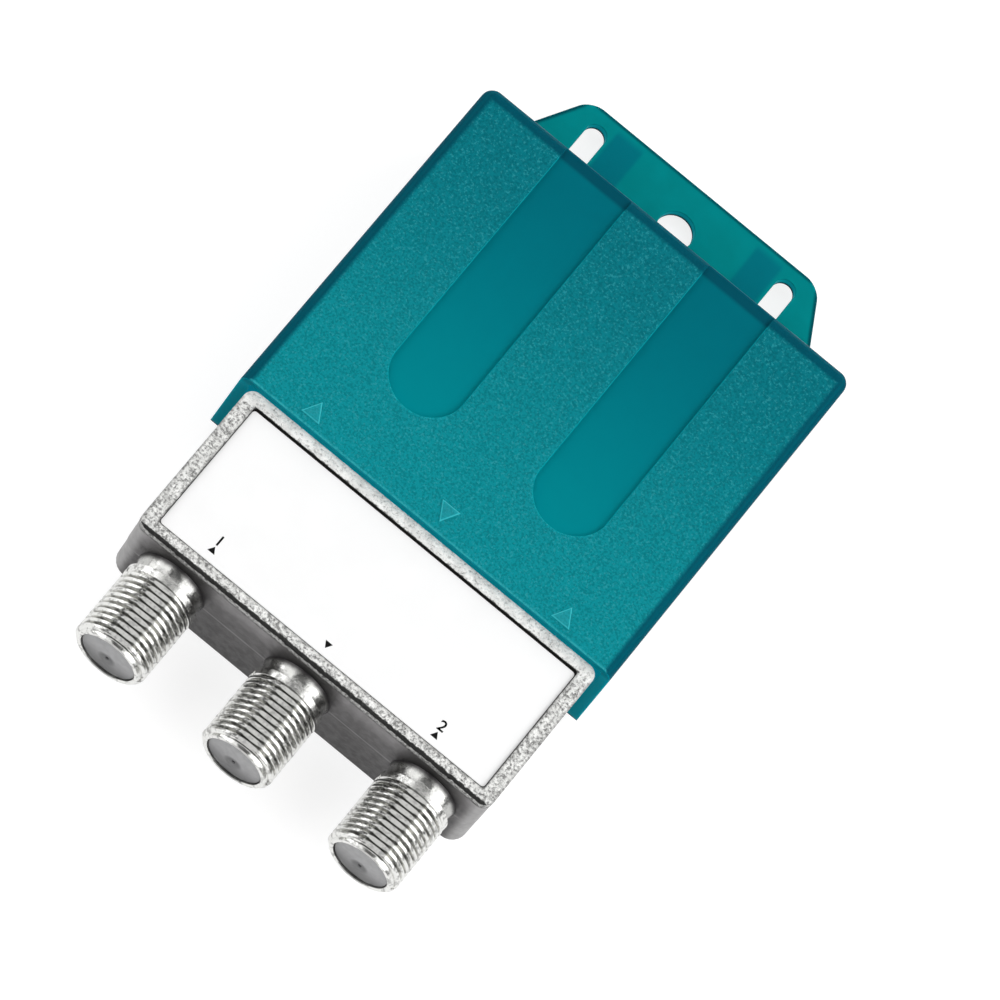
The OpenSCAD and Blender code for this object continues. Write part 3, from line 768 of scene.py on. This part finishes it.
def thread_finish(colours, p, wall_y, pitch):
    """Nickel plating on the ports, darker down the flat and on the neck, with the wall's tone at the root."""
    f = Finish("bright_nickel", colours.thread, 0.2, Metallic=1.0)
    y, shoulder_y = f.axis("Y"), wall_y - p.shoulder
    beside = (f.band(abs(f.off_port(pitch)), 0.0012, 0.0017)
              * f.near(y, shoulder_y, -0.1, 0.1, 1.0, 0.0))
    bright = f.tint(beside, colours.thread, colours.thread_flank)
    bright = f.tint(f.band(f.noise(0.0008, 0.65, 4), 0.36, 0.52), colours.thread_deep, bright)
    root = f.band(y, wall_y - p.root * 2, wall_y - 0.00002)
    f.drive("Base Color", f.tint(root, bright, colours.wall))
    f.drive("Roughness", f.band(f.noise(0.0006), 0.3, 0.7, 0.12, 0.26) + root * 0.2)
    f.relief(f.noise(0.0003, 0.6), 0.000014)
    return f.material


def label_finish(colours):
    """Smooth white film with a faint wave."""
    f = Finish("label_film", colours.label, 0.35, Specular_IOR_Level=0.4)
    f.drive("Base Color", f.tint(f.band(f.noise(0.004, 0.4, 2), 0.3, 0.7), shade(colours.label, 0.985),
                                 colours.label))
    f.relief(f.noise(0.0025, 0.4, 2), 0.000006)
    return f.material


def ink_finish(colours):
    """Black print."""
    f = Finish("label_ink", colours.ink, 0.5, Specular_IOR_Level=0.1)
    f.drive("Roughness", f.band(f.noise(0.0002, detail=2), 0.3, 0.7, 0.42, 0.6))
    return f.material


def insulator_finish(colours, pitch, port_z, well):
    """Grey turned plastic, with painted shade towards the bottom and in the middle of each port."""
    f = Finish("grey_insulator", colours.insulator, 0.4, Specular_IOR_Level=0.35)
    across, rise = f.off_port(pitch), f.axis("Z") - (port_z - 0.0004)
    radius = (across * across + rise * rise).root()
    # Painted shade: darker towards the bottom and in the middle round the boss
    plain = f.tint(f.band(rise, -0.0022, 0.0018, 0.95, 0.0), f.clouded(colours.insulator, 0.88, 0.0008),
                   colours.insulator_shade)
    f.drive("Base Color", f.tint(f.band(radius, well * 0.6, well * 1.2, 1.0, 0.0), plain,
                                 colours.insulator_shade))
    f.relief(f.noise(0.0003), 0.00001)
    return f.material


def cloudy_finish(name, base, deep, grain, roughness, depth, metallic=0.0):
    """A plain finish with clouds of a deeper colour and a fine relief."""
    f = Finish(name, base, roughness, Metallic=metallic)
    f.drive("Base Color", f.tint(f.band(f.noise(grain, 0.6, 4), 0.35, 0.65), base, deep))
    f.drive("Roughness", f.band(f.noise(grain / 3), 0.3, 0.7, roughness - 0.06, roughness + 0.08))
    f.relief(f.noise(grain / 5, 0.6), depth)
    return f.material


# Weather cover


def cover_blank(p, low, high):
    """The cover's solid outer form, with its edges rounded."""
    obj = block("weather_cover", low, high)
    pick(obj, "FACE", lambda f: f.normal.z < -0.9)
    bpy.ops.transform.resize(value=(1 + mm(p.draft) / high.x, 1, 1))
    edge = mm(p.edge)
    round_edges(obj, edge, 8, lambda e: runs(e, 2) and middle(e).y > high.y - NEAR)
    round_edges(obj, edge * 0.98, 6, lambda e: level(e, high.z) and middle(e).y > low.y + NEAR)
    round_edges(obj, mm(p.heel), 6, lambda e: runs(e, 0) and middle(e).y < low.y + NEAR and level(e, low.z))
    round_edges(obj, mm(p.mouth_edge), 3,
                lambda e: all(v.co.y < low.y + NEAR for v in e.verts) and sharp(e))
    return obj


def hollow_cover(p, obj, low, high, plate_top):
    """Cuts the room inside the cover and the bay for its back plate, and gives the room's last corner."""
    start = (mm(p.side_wall) - high.x, low.y - CUT, low.z - CUT)
    end = Vector((high.x - mm(p.side_wall), high.y - mm(p.top_wall), high.z - mm(p.front_wall)))
    room = block("room", start, end)
    round_edges(room, mm(p.room_corner), 4, lambda e: runs(e, 2) and middle(e).y > low.y)
    combine(obj, room, "DIFFERENCE")
    combine(obj, block("bay", start, (end.x, high.y + CUT, plate_top)), "DIFFERENCE")
    return end


def cut_channels(p, obj, low, high):
    """Cuts the two grip channels, with a soft foot and a softened brink."""
    radius = mm(p.channel_width) / 2
    floor_z = high.z - mm(p.channel_depth)
    y_span = (low.y + mm(p.channel_rise) + radius, high.y + radius + CUT)
    for side in (-1, 1):
        cutter = stadium("channel", side * mm(p.channel_place), radius, y_span, (floor_z, high.z + CUT))
        round_brim(cutter, mm(p.channel_foot), 3, floor_z)
        combine(obj, cutter, "DIFFERENCE")
    brink_y = high.y - mm(p.edge) - NEAR
    round_brim(obj, mm(p.channel_brink), 3, high.z, lambda at: low.y + CUT < at.y < brink_y)


def raise_arrow(p, obj, x, base_y, panel_z, way):
    """Adds one moulded arrow, a low frustum with three sides, that points up or down the panel."""
    foot, relief = mm(p.arrow_width) / math.sqrt(3), mm(p.arrow_relief)
    lean, sunk = 3 * relief, 0.1
    arrow = wedge("arrow", foot, foot - lean, relief + sunk)
    stretch(arrow, 0, way * mm(p.arrow_height) / (1.5 * foot))
    low_y = min(v.co.y for v in arrow.data.vertices)
    move(arrow, x, base_y - low_y, panel_z + (relief - sunk) / 2)
    round_edges(arrow, mm(p.arrow_edge), 2, lambda e: level(e, panel_z + relief))
    combine(obj, arrow, "UNION")


class SWITCH_OT_cover_shell(bpy.types.Operator):
    """Models the front, sides and top of the weather cover"""

    bl_idname = "satswitch.cover_shell"
    bl_label = "Cover shell"

    def execute(self, context):
        """Builds the shell as one moulding."""
        settings = context.scene.satswitch
        p, colours = settings.cover, settings.colours
        low, high = node_box("weather_shell")
        obj = cover_blank(p, low, high)
        room = hollow_cover(p, obj, low, high, node_box("back_plate")[1].z)
        cut_channels(p, obj, low, high)
        for name, way, shift in ARROWS:
            raise_arrow(p, obj, mount_place(name)[0] + shift, low.y + mm(p.arrow_rise), high.z, way)
        paint(obj, cover_finish(colours, low * MM, high * MM, p.edge))
        paint(obj, inside_finish(colours), lambda f: abs(f.center.x) < room.x + NEAR
              and f.center.z < room.z + NEAR and low.y + NEAR < f.center.y < room.y + NEAR)
        face_outwards(obj)
        seat(obj, "cover_shell", "cover", ["weather_shell"])
        return {"FINISHED"}


class SWITCH_OT_cover_plate(bpy.types.Operator):
    """Models the back plate with its flange, slots, fixing hole and ribs"""

    bl_idname = "satswitch.cover_plate"
    bl_label = "Back plate"

    def execute(self, context):
        """Builds the plate from a box whose upper end is pulled out and narrowed."""
        settings = context.scene.satswitch
        p, colours = settings.cover, settings.colours
        low, high = node_box("back_plate")
        shell_top = node_box("weather_shell")[1].y
        start = shell_top - mm(p.taper_drop)
        base_z = high.z - mm(p.plate_wall)
        obj = block("plate", (low.x, low.y, base_z), (high.x, start, high.z))
        pick(obj, "FACE", lambda f: f.normal.y > 0.9)
        bpy.ops.mesh.extrude_region_move(TRANSFORM_OT_translate={"value": (0, high.y - start, 0)})
        bpy.ops.transform.resize(value=(mm(p.flange_width) / (high.x - low.x), 1, 1))
        round_edges(obj, mm(p.flange_corner), 8, lambda e: runs(e, 2) and middle(e).y > high.y - NEAR)
        round_edges(obj, SOFT, 3, lambda e: sharp(e) and middle(e).y > start + NEAR
                    and (level(e, high.z) or level(e, base_z)))
        half_rib, rib_top = mm(p.rib_width) / 2, high.y - mm(p.rib_margin)
        for x in (-mm(p.channel_place), mm(p.channel_place)):
            rib = block("rib", (x - half_rib, low.y, low.z), (x + half_rib, rib_top, high.z - LAP))
            round_edges(rib, mm(p.rib_chamfer), 1, lambda e: runs(e, 0) and level(e, low.z))
            round_brim(rib, SOFT, 2, low.z)
            combine(obj, rib, "UNION")
        radius = mm(p.slot_width) / 2
        slot_high = high.y - mm(p.slot_margin) - radius
        y_span = (slot_high - mm(p.slot_length) + 2 * radius, slot_high)
        for x in (-mm(p.slot_place), mm(p.slot_place)):
            slot = stadium("slot", x, radius, y_span, (low.z - CUT, high.z + CUT), 32)
            combine(obj, slot, "DIFFERENCE")
        hole_radius = mount("fixing_hole")["dims"]["r_mm"]
        hole = pin("hole", hole_radius, high.z - low.z + CUT, mount_place("fixing_hole"), 64)
        combine(obj, hole, "DIFFERENCE")
        round_brim(obj, SOFT, 2, high.z, lambda at: shell_top - CUT < at.y < high.y - CUT
                   and abs(at.x) < mm(p.flange_width) / 2)
        taper = (high.x * MM, p.flange_width / 2, start * MM, high.y * MM)
        paint(obj, flange_finish(colours, p.channel_place, p.rib_width / 2, high.y * MM - p.rib_margin,
                                 taper))
        paint(obj, inside_finish(colours), lambda f: f.normal.z > 0.9 and f.center.z > high.z - NEAR
              and f.center.y < start)
        paint(obj, cut_edge_finish(colours, base_z * MM),
              lambda f: abs(f.normal.z) < 0.3 and f.center.z > base_z - NEAR)
        seat(obj, "cover_back_plate", "cover", ["back_plate"])
        return {"FINISHED"}


# Switch box


def port_lathe(p, wall, port_length, thread_radius):
    """The turned body of a port: fillet, neck, collar, thread core, tip and bore."""
    neck, shoulder, tip, bore, inner = mm(p.neck), mm(p.shoulder), mm(p.tip), mm(p.bore), mm(p.stub) / 2
    core, narrow = thread_radius - mm(p.thread_depth), thread_radius - mm(p.collar_taper)
    thread_start = shoulder + mm(p.collar)
    sunk, back, soft, slight = wall / 2, -0.02, 0.08, 0.03
    groove_start, groove_end = -thread_start - 0.2, 0.35 - port_length
    flare = [(neck + mm(p.root) * (1 - share) ** 1.5, -share * shoulder * 0.95)
             for share in (0, 0.08, 0.16, 0.25, 0.35, 0.5, 0.75, 1)]
    points = [
        (inner, sunk), (neck + mm(p.root), sunk), *flare, (neck + soft, -shoulder),
        (thread_radius - soft, -shoulder - slight), (thread_radius, -shoulder - soft),
        (narrow, 2 * slight - thread_start), (core, groove_start), (core, groove_end),
        (tip, -port_length + slight), (tip - 2 * slight, -port_length), (bore + soft, -port_length),
        (bore, -port_length + soft), (bore, back), (inner, back)]
    return lathe("port", points, closed=True)


def thread_ridge(p, port_length, thread_radius):
    """One closed helical ridge with a round crest, cut to the barrel's chamfered outline."""
    pitch, depth = mm(p.pitch), mm(p.thread_depth)
    core, start = thread_radius - depth, pitch * 0.3 - port_length
    turns = (port_length - mm(p.shoulder) - mm(p.collar)) / pitch
    ridge = drawn_line("ridge", [(core + depth * h, start + pitch * w) for h, w in CREST], closed=True)
    steps = round(TURN_STEPS * turns)
    apply(ridge, "SCREW", axis="Y", angle=math.tau * turns, steps=steps, render_steps=steps,
          screw_offset=pitch * turns, use_merge_vertices=False)
    bpy.ops.object.mode_set(mode="EDIT")
    bpy.ops.mesh.select_mode(type="EDGE")
    bpy.ops.mesh.select_all(action="DESELECT")
    bpy.ops.mesh.select_non_manifold()
    bpy.ops.mesh.fill_holes(sides=0)
    face_outwards(ridge)
    # The outline ends just inside the port's end face, so that the two faces don't share a plane
    slack, inset, under_collar = 0.05, 0.012, 0.4
    tip, outer = mm(p.tip) - slack, thread_radius + slack
    low, high = inset - port_length, -mm(p.shoulder) - under_collar
    outline = [(0, low), (tip, low), (outer, low + outer - tip), (outer, high), (0, high)]
    return combine(ridge, lathe("envelope", outline, closed=False), "INTERSECT")


def model_port(p, wall, port_length, thread_radius):
    """One port at the origin, with its thread and the flat down its front."""
    port = port_lathe(p, wall, port_length, thread_radius)
    combine(port, thread_ridge(p, port_length, thread_radius), "UNION")
    flat = block("flat", (-thread_radius, -port_length - CUT, mm(p.flat)),
                 (thread_radius, -mm(p.shoulder) - mm(p.collar), thread_radius + CUT))
    return combine(port, flat, "DIFFERENCE")


def casting_body(p, low, high, wall_y, wall, rough):
    """The box: a rear half and a front half that meet at the parting line, under the rough rim."""
    parting = (low.z + high.z) / 2
    flash, corner = mm(p.flash), mm(p.front_corner)
    half, inner_y = high.x - flash, wall_y + flash
    # The front half dips into the rear one and ends inside the rim, so that no two blocks share a plane
    dip, bury, rim_foot = 0.02, 0.3, 0.05
    body = soft_block("casting", (-half, inner_y, low.z), (half, high.y, parting), mm(p.rear_corner),
                      bottom=mm(p.rear_edge))
    front = soft_block("front", (-half, inner_y, parting - dip), (half, high.y, high.z - bury), corner)
    rim = soft_block("rim", (-high.x, wall_y, high.z - mm(p.rim_drop)), high, corner, bottom=rim_foot)
    round_brim(rim, mm(p.rim_edge), 4, high.z, lambda at: at.y < wall_y + corner)
    round_brim(rim, mm(p.rim_soft), 2, high.z, degrees=60)
    for slab, material in ((body, wall), (front, wall), (rim, rough)):
        paint(slab, material)
    for slab in (front, rim):
        combine(body, slab, "UNION")
    return body


def hollow_casting(p, obj, low, high, wall_y, satin, dark):
    """Cuts the label recess, the inside and the lid's seat, and adds the board's posts and pegs."""
    half, wall, rim_side, rim_end = high.x, mm(p.wall), mm(p.rim_side), mm(p.rim_end)
    recess = soft_block("recess", (rim_side - half, wall_y + rim_end, high.z - mm(p.recess)),
                        (half - rim_side, high.y - rim_end, high.z + CUT), mm(p.recess_corner))
    # The recess's walls and floor take the painted shade finish
    combine(obj, paint(recess, dark), "DIFFERENCE")
    round_brim(obj, mm(p.recess_edge), 2, high.z, lambda at: abs(at.x) < half - rim_side + NEAR
               and wall_y + CUT < at.y < high.y - CUT)
    room_low = Vector((wall - half, wall_y + wall, low.z - CUT))
    room_high = Vector((half - wall, high.y - wall, high.z - mm(p.face)))
    combine(obj, paint(block("inside", room_low, room_high), satin), "DIFFERENCE")
    rim = mm(p.lid_rim)
    lid_seat = soft_block("lid_seat", (rim - half, wall_y + rim, low.z - CUT),
                          (half - rim, high.y - rim, low.z + mm(p.lid_wall)), mm(p.rear_corner) - rim)
    combine(obj, paint(lid_seat, satin), "DIFFERENCE")
    board_low, board_high = node_box("circuit_board")
    post, top = mm(p.post), room_high.z + LAP
    for y in (room_low.y, room_high.y - post):
        for x in (room_low.x, room_high.x - post):
            stand = block("post", (x - LAP, y - LAP, board_high.z), (x + post + LAP, y + post + LAP, top))
            combine(obj, paint(stand, satin), "UNION")
    peg_y = (room_low.y + room_high.y) / 2 + (room_high.y - room_low.y) / 2 * 0.3
    for side in (-1, 1):
        peg = pin("peg", mm(p.peg) / 2, top - board_low.z,
                  (side * room_high.x / 2, peg_y, (top + board_low.z) / 2), 24)
        combine(obj, paint(peg, satin), "UNION")


class SWITCH_OT_casting(bpy.types.Operator):
    """Models the die-cast box with its three threaded ports"""

    bl_idname = "satswitch.casting"
    bl_label = "Die-cast box"

    def execute(self, context):
        """Builds the box, then one port, and joins three copies of the port to the box."""
        settings = context.scene.satswitch
        p, ports, colours = settings.casting, settings.ports, settings.colours
        low, high = node_box("die_cast_housing")
        wall_y = high.y - mm(p.height)
        port_y = wall_y + mm(p.flash)
        wall = wall_finish(colours, low * MM, high * MM)
        obj = casting_body(p, low, high, wall_y, wall, rim_finish(colours, p, wall_y * MM, high * MM))
        hollow_casting(p, obj, low, high, wall_y, wall, seam_shade_finish(colours, high.y * MM - p.rim_end))
        port = model_port(ports, mm(p.wall), port_y - low.y, mount("port_centre")["dims"]["r_mm"])
        paint(port, thread_finish(colours, ports, wall_y * MM, mount("port_right")["pos_m"][0]))
        for side in SIDES:
            x, _, z = mount_place("port_" + side)
            combine(obj, move(copy_of(port, "port_" + side), x, port_y, z), "UNION")
            stub_hole = pin("stub_hole", mm(ports.stub), 4 * mm(p.wall), (x, wall_y, z), 48, along_y=True)
            combine(obj, paint(stub_hole, wall), "DIFFERENCE")
        bpy.data.objects.remove(port)
        face_outwards(obj)
        seat(obj, "switch_casting", "switch_unit", ["die_cast_housing"], smooth=28)
        return {"FINISHED"}


def printed_number(number, x, y, z):
    """A thin printed number that stands at a place."""
    use(None)
    bpy.ops.object.text_add(location=(x, y, z))
    text = bpy.context.object.data
    text.body, text.size, text.align_x = number, NUMBER_SIZE, "CENTER"
    text.extrude, text.offset = INK_DEPTH, NUMBER_WEIGHT
    bpy.ops.object.convert(target="MESH")
    return face_outwards(settle("number"))


class SWITCH_OT_label(bpy.types.Operator):
    """Models the label film with its printed numbers and arrows"""

    bl_idname = "satswitch.label"
    bl_label = "Label"

    def execute(self, context):
        """Builds the film and lays flat print on it."""
        settings = context.scene.satswitch
        low, high = node_box("face_label")
        reach = Vector((LABEL_REACH, 0, 0))
        obj = soft_block("label", low - reach, high + reach, mm(settings.casting.recess_corner))
        paint(obj, label_finish(settings.colours))
        prints = []
        for x, y, way, number in MARKS:
            arrow = wedge("print", MARK_RADIUS, MARK_RADIUS, 2 * INK_DEPTH, (x, y, high.z))
            prints.append(stretch(arrow, y, way))
            if number:
                prints.append(printed_number(number, x, y + NUMBER_RISE, high.z - INK_DEPTH))
        ink = ink_finish(settings.colours)
        for piece in prints:
            paint(piece, ink)
        use(obj)
        for piece in prints:
            piece.select_set(True)
        bpy.ops.object.join()
        seat(obj, "switch_label", "switch_unit", ["face_label"])
        return {"FINISHED"}


class SWITCH_OT_insulators(bpy.types.Operator):
    """Models the grey insulator in each port"""

    bl_idname = "satswitch.insulators"
    bl_label = "Insulators"

    def execute(self, context):
        """Turns one insulator and copies it into the three ports."""
        settings = context.scene.satswitch
        p = settings.ports
        low, high = node_box("port_insulator_centre")
        wall_y = high.y - mm(settings.casting.wall)
        back, end, radius = high.y - wall_y, low.y - wall_y, high.x
        gap, soft, bead, ledge, hole_edge = 0.05, 0.12, 0.06, 0.25, 0.08
        stub, entry, well = mm(p.stub) - gap, mm(p.entry), mm(p.boss)
        room, floor = node_box("centre_contact_centre")[1].x + gap, end + 0.8
        edge = end - mm(p.proud)
        dome = edge - mm(p.dome)
        face = dome - mm(p.boss_rise)
        points = [
            (room, back), (stub, back), (stub, -gap), (radius, -gap), (radius, edge + soft),
            (radius - soft, edge), (radius * 0.8, edge - bead), (well + ledge, dome), (well, face),
            (entry + hole_edge, face), (entry, face + hole_edge), (entry, floor), (room, floor)]
        one = lathe("insulator", points, closed=True, steps=72)
        pitch, _, port_z = mount("port_right")["pos_m"]
        paint(one, insulator_finish(settings.colours, pitch, port_z, p.boss))
        for side in SIDES:
            x, _, z = mount_place("port_" + side)
            piece = move(copy_of(one, "insulator_" + side), x, wall_y, z)
            seat(piece, "insulator_" + side, "switch_unit", ["port_insulator_" + side])
        bpy.data.objects.remove(one)
        return {"FINISHED"}


class SWITCH_OT_lid(bpy.types.Operator):
    """Models the sheet lid pressed into the back of the casting"""

    bl_idname = "satswitch.lid"
    bl_label = "Rear lid"

    def execute(self, context):
        """Builds the lid with a rolled edge and a shallow pressed panel."""
        p = context.scene.satswitch.casting
        low, high = node_box("rear_lid")
        corner = mm(p.rear_corner - p.lid_rim)
        obj = soft_block("lid", low, high, corner, bottom=SOFT)
        edge = Vector((mm(p.lid_margin), mm(p.lid_margin), 0))
        panel = soft_block("panel", low + edge - Vector((0, 0, CUT)),
                           Vector((high.x, high.y, low.z + mm(p.lid_press))) - edge, corner, top=SOFT)
        combine(obj, panel, "DIFFERENCE")
        round_brim(obj, mm(p.lid_edge), 2, low.z, lambda at: abs(at.x) < high.x - CUT
                   and low.y + CUT < at.y < high.y - CUT)
        paint(obj, cloudy_finish("lid_sheet", *LID_SHEET))
        seat(obj, "switch_lid", "switch_unit", ["rear_lid"])
        return {"FINISHED"}


class SWITCH_OT_inside(bpy.types.Operator):
    """Gives the parts inside the box their finishes"""

    bl_idname = "satswitch.inside"
    bl_label = "Inside parts"

    def execute(self, context):
        """Each carried-over node gets a material of its own kind."""
        finishes = {slot: cloudy_finish(*look) for slot, look in INSIDE.items()}
        for part in frame["record"]["subparts"]:
            if part["material_slot"] in finishes:
                mesh = frame["nodes"][part["node"]].data
                mesh.materials.clear()
                mesh.materials.append(finishes[part["material_slot"]])
        return {"FINISHED"}


# Stage


def add_floor(p):
    """A wide pale floor that is white for the camera and keeps the shadow."""
    use(None)
    bpy.ops.mesh.primitive_plane_add(size=8)
    floor = settle("floor")
    f = Finish("pale_floor", (p.floor_tone, p.floor_tone, p.floor_tone), 0.9, Specular_IOR_Level=0.0)
    camera = f.add("ShaderNodeLightPath", "Is Camera Ray")
    glossy = f.add("ShaderNodeLightPath", "Is Glossy Ray")
    through = f.add("ShaderNodeLightPath", "Is Transmission Ray")
    f.drive("Emission Color", (1, 1, 1, 1))
    f.drive("Emission Strength", camera.most(glossy.most(through)) * p.floor_glow)
    paint(floor, f.material)


def add_lamp(name, azimuth, elevation, distance, size, power):
    """A soft square lamp that looks at the object from a direction given in degrees, azimuth 0 at -Y."""
    a, e = math.radians(azimuth), math.radians(elevation)
    way = Vector((math.sin(a) * math.cos(e), -math.cos(a) * math.cos(e), math.sin(e)))
    lamp = bpy.data.objects.new(name, bpy.data.lights.new(name, "AREA"))
    bpy.context.scene.collection.objects.link(lamp)
    lamp.data.shape = "RECTANGLE"
    lamp.data.size, lamp.data.size_y = size
    lamp.data.energy = power
    lamp.location = way * distance
    lamp.rotation_euler = way.to_track_quat("Z", "Y").to_euler()
    lamp.visible_camera = False


def add_camera(p, target):
    """The camera at the photographed angle."""
    tilt, sway, turn = math.radians(p.tilt), -math.radians(p.sway), math.radians(p.turn)
    right = Vector((math.cos(sway), 0, math.sin(sway)))
    back = Vector((-math.sin(sway) * math.cos(tilt), -math.sin(tilt), math.cos(sway) * math.cos(tilt)))
    up = back.cross(right)
    across = math.cos(turn) * right + math.sin(turn) * up
    along = -math.sin(turn) * right + math.cos(turn) * up
    camera = bpy.data.objects.new("camera", bpy.data.cameras.new("camera"))
    bpy.context.scene.collection.objects.link(camera)
    camera.data.lens = p.lens
    camera.data.sensor_width = 36.0
    camera.data.clip_start = 0.05
    place = Matrix((across, along, back)).transposed().to_4x4()
    place.translation = target + back * p.distance
    camera.matrix_world = place
    bpy.context.scene.camera = camera


class SWITCH_OT_stage(bpy.types.Operator):
    """Adds the floor, lamps, surroundings and camera"""

    bl_idname = "satswitch.stage"
    bl_label = "Stage"

    def execute(self, context):
        """Builds the plain studio round the object."""
        p = context.scene.satswitch.stage
        world = bpy.data.worlds.new("surroundings")
        world.use_nodes = True
        background = world.node_tree.nodes["Background"]
        background.inputs["Color"].default_value = (1, 1, 1, 1)
        background.inputs["Strength"].default_value = p.sky
        context.scene.world = world
        context.scene.view_settings.view_transform = "Standard"
        add_floor(p)
        add_lamp("side_right", 122, 31, 0.6, (0.7, 0.42), p.side)
        add_lamp("side_left", -118, 17, 0.6, (0.7, 0.3), p.side * 0.6)
        add_lamp("front_left", -70, 45, 0.6, (0.5, 0.5), p.front * 0.75)
        add_lamp("front_right", 70, 45, 0.6, (0.5, 0.5), p.front)
        add_lamp("top", 180, 67, 0.8, (0.85, 0.5), p.top)
        add_camera(p, Vector((*AIM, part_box("weather_shell")[1].z)))
        return {"FINISHED"}


class SWITCH_PT_panel(bpy.types.Panel):
    """Lists the pieces, their sizes and their colours"""

    bl_idname = "SWITCH_PT_panel"
    bl_label = "Satellite switch"
    bl_space_type = "VIEW_3D"
    bl_region_type = "UI"
    bl_category = "Switch"

    def draw(self, context):
        """Draws one button for each operator and the settings under them."""
        for operator in OPERATORS:
            self.layout.operator(operator.bl_idname)
        for group in ("cover", "casting", "ports", "colours", "stage"):
            box = self.layout.box()
            settings = getattr(context.scene.satswitch, group)
            for name in settings.bl_rna.properties.keys():
                if name not in ("rna_type", "name"):
                    box.prop(settings, name)


OPERATORS = (SWITCH_OT_cover_shell, SWITCH_OT_cover_plate, SWITCH_OT_casting, SWITCH_OT_label,
             SWITCH_OT_insulators, SWITCH_OT_lid, SWITCH_OT_inside, SWITCH_OT_stage)
CLASSES = (CoverSizes, CastingSizes, PortSizes, Colours, StageSettings, SwitchSettings, *OPERATORS,
           SWITCH_PT_panel)


def register():
    """Registers the classes and hangs the settings on the scene."""
    for item in CLASSES:
        bpy.utils.register_class(item)
    bpy.types.Scene.satswitch = PointerProperty(type=SwitchSettings)


def unregister():
    """Takes the settings off the scene and unregisters the classes."""
    del bpy.types.Scene.satswitch
    for item in reversed(CLASSES):
        bpy.utils.unregister_class(item)


def main():
    """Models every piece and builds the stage."""
    register()
    bpy.ops.satswitch.cover_shell()
    bpy.ops.satswitch.cover_plate()
    bpy.ops.satswitch.casting()
    bpy.ops.satswitch.label()
    bpy.ops.satswitch.insulators()
    bpy.ops.satswitch.lid()
    bpy.ops.satswitch.inside()
    bpy.ops.satswitch.stage()


if __name__ == "__main__":
    main()
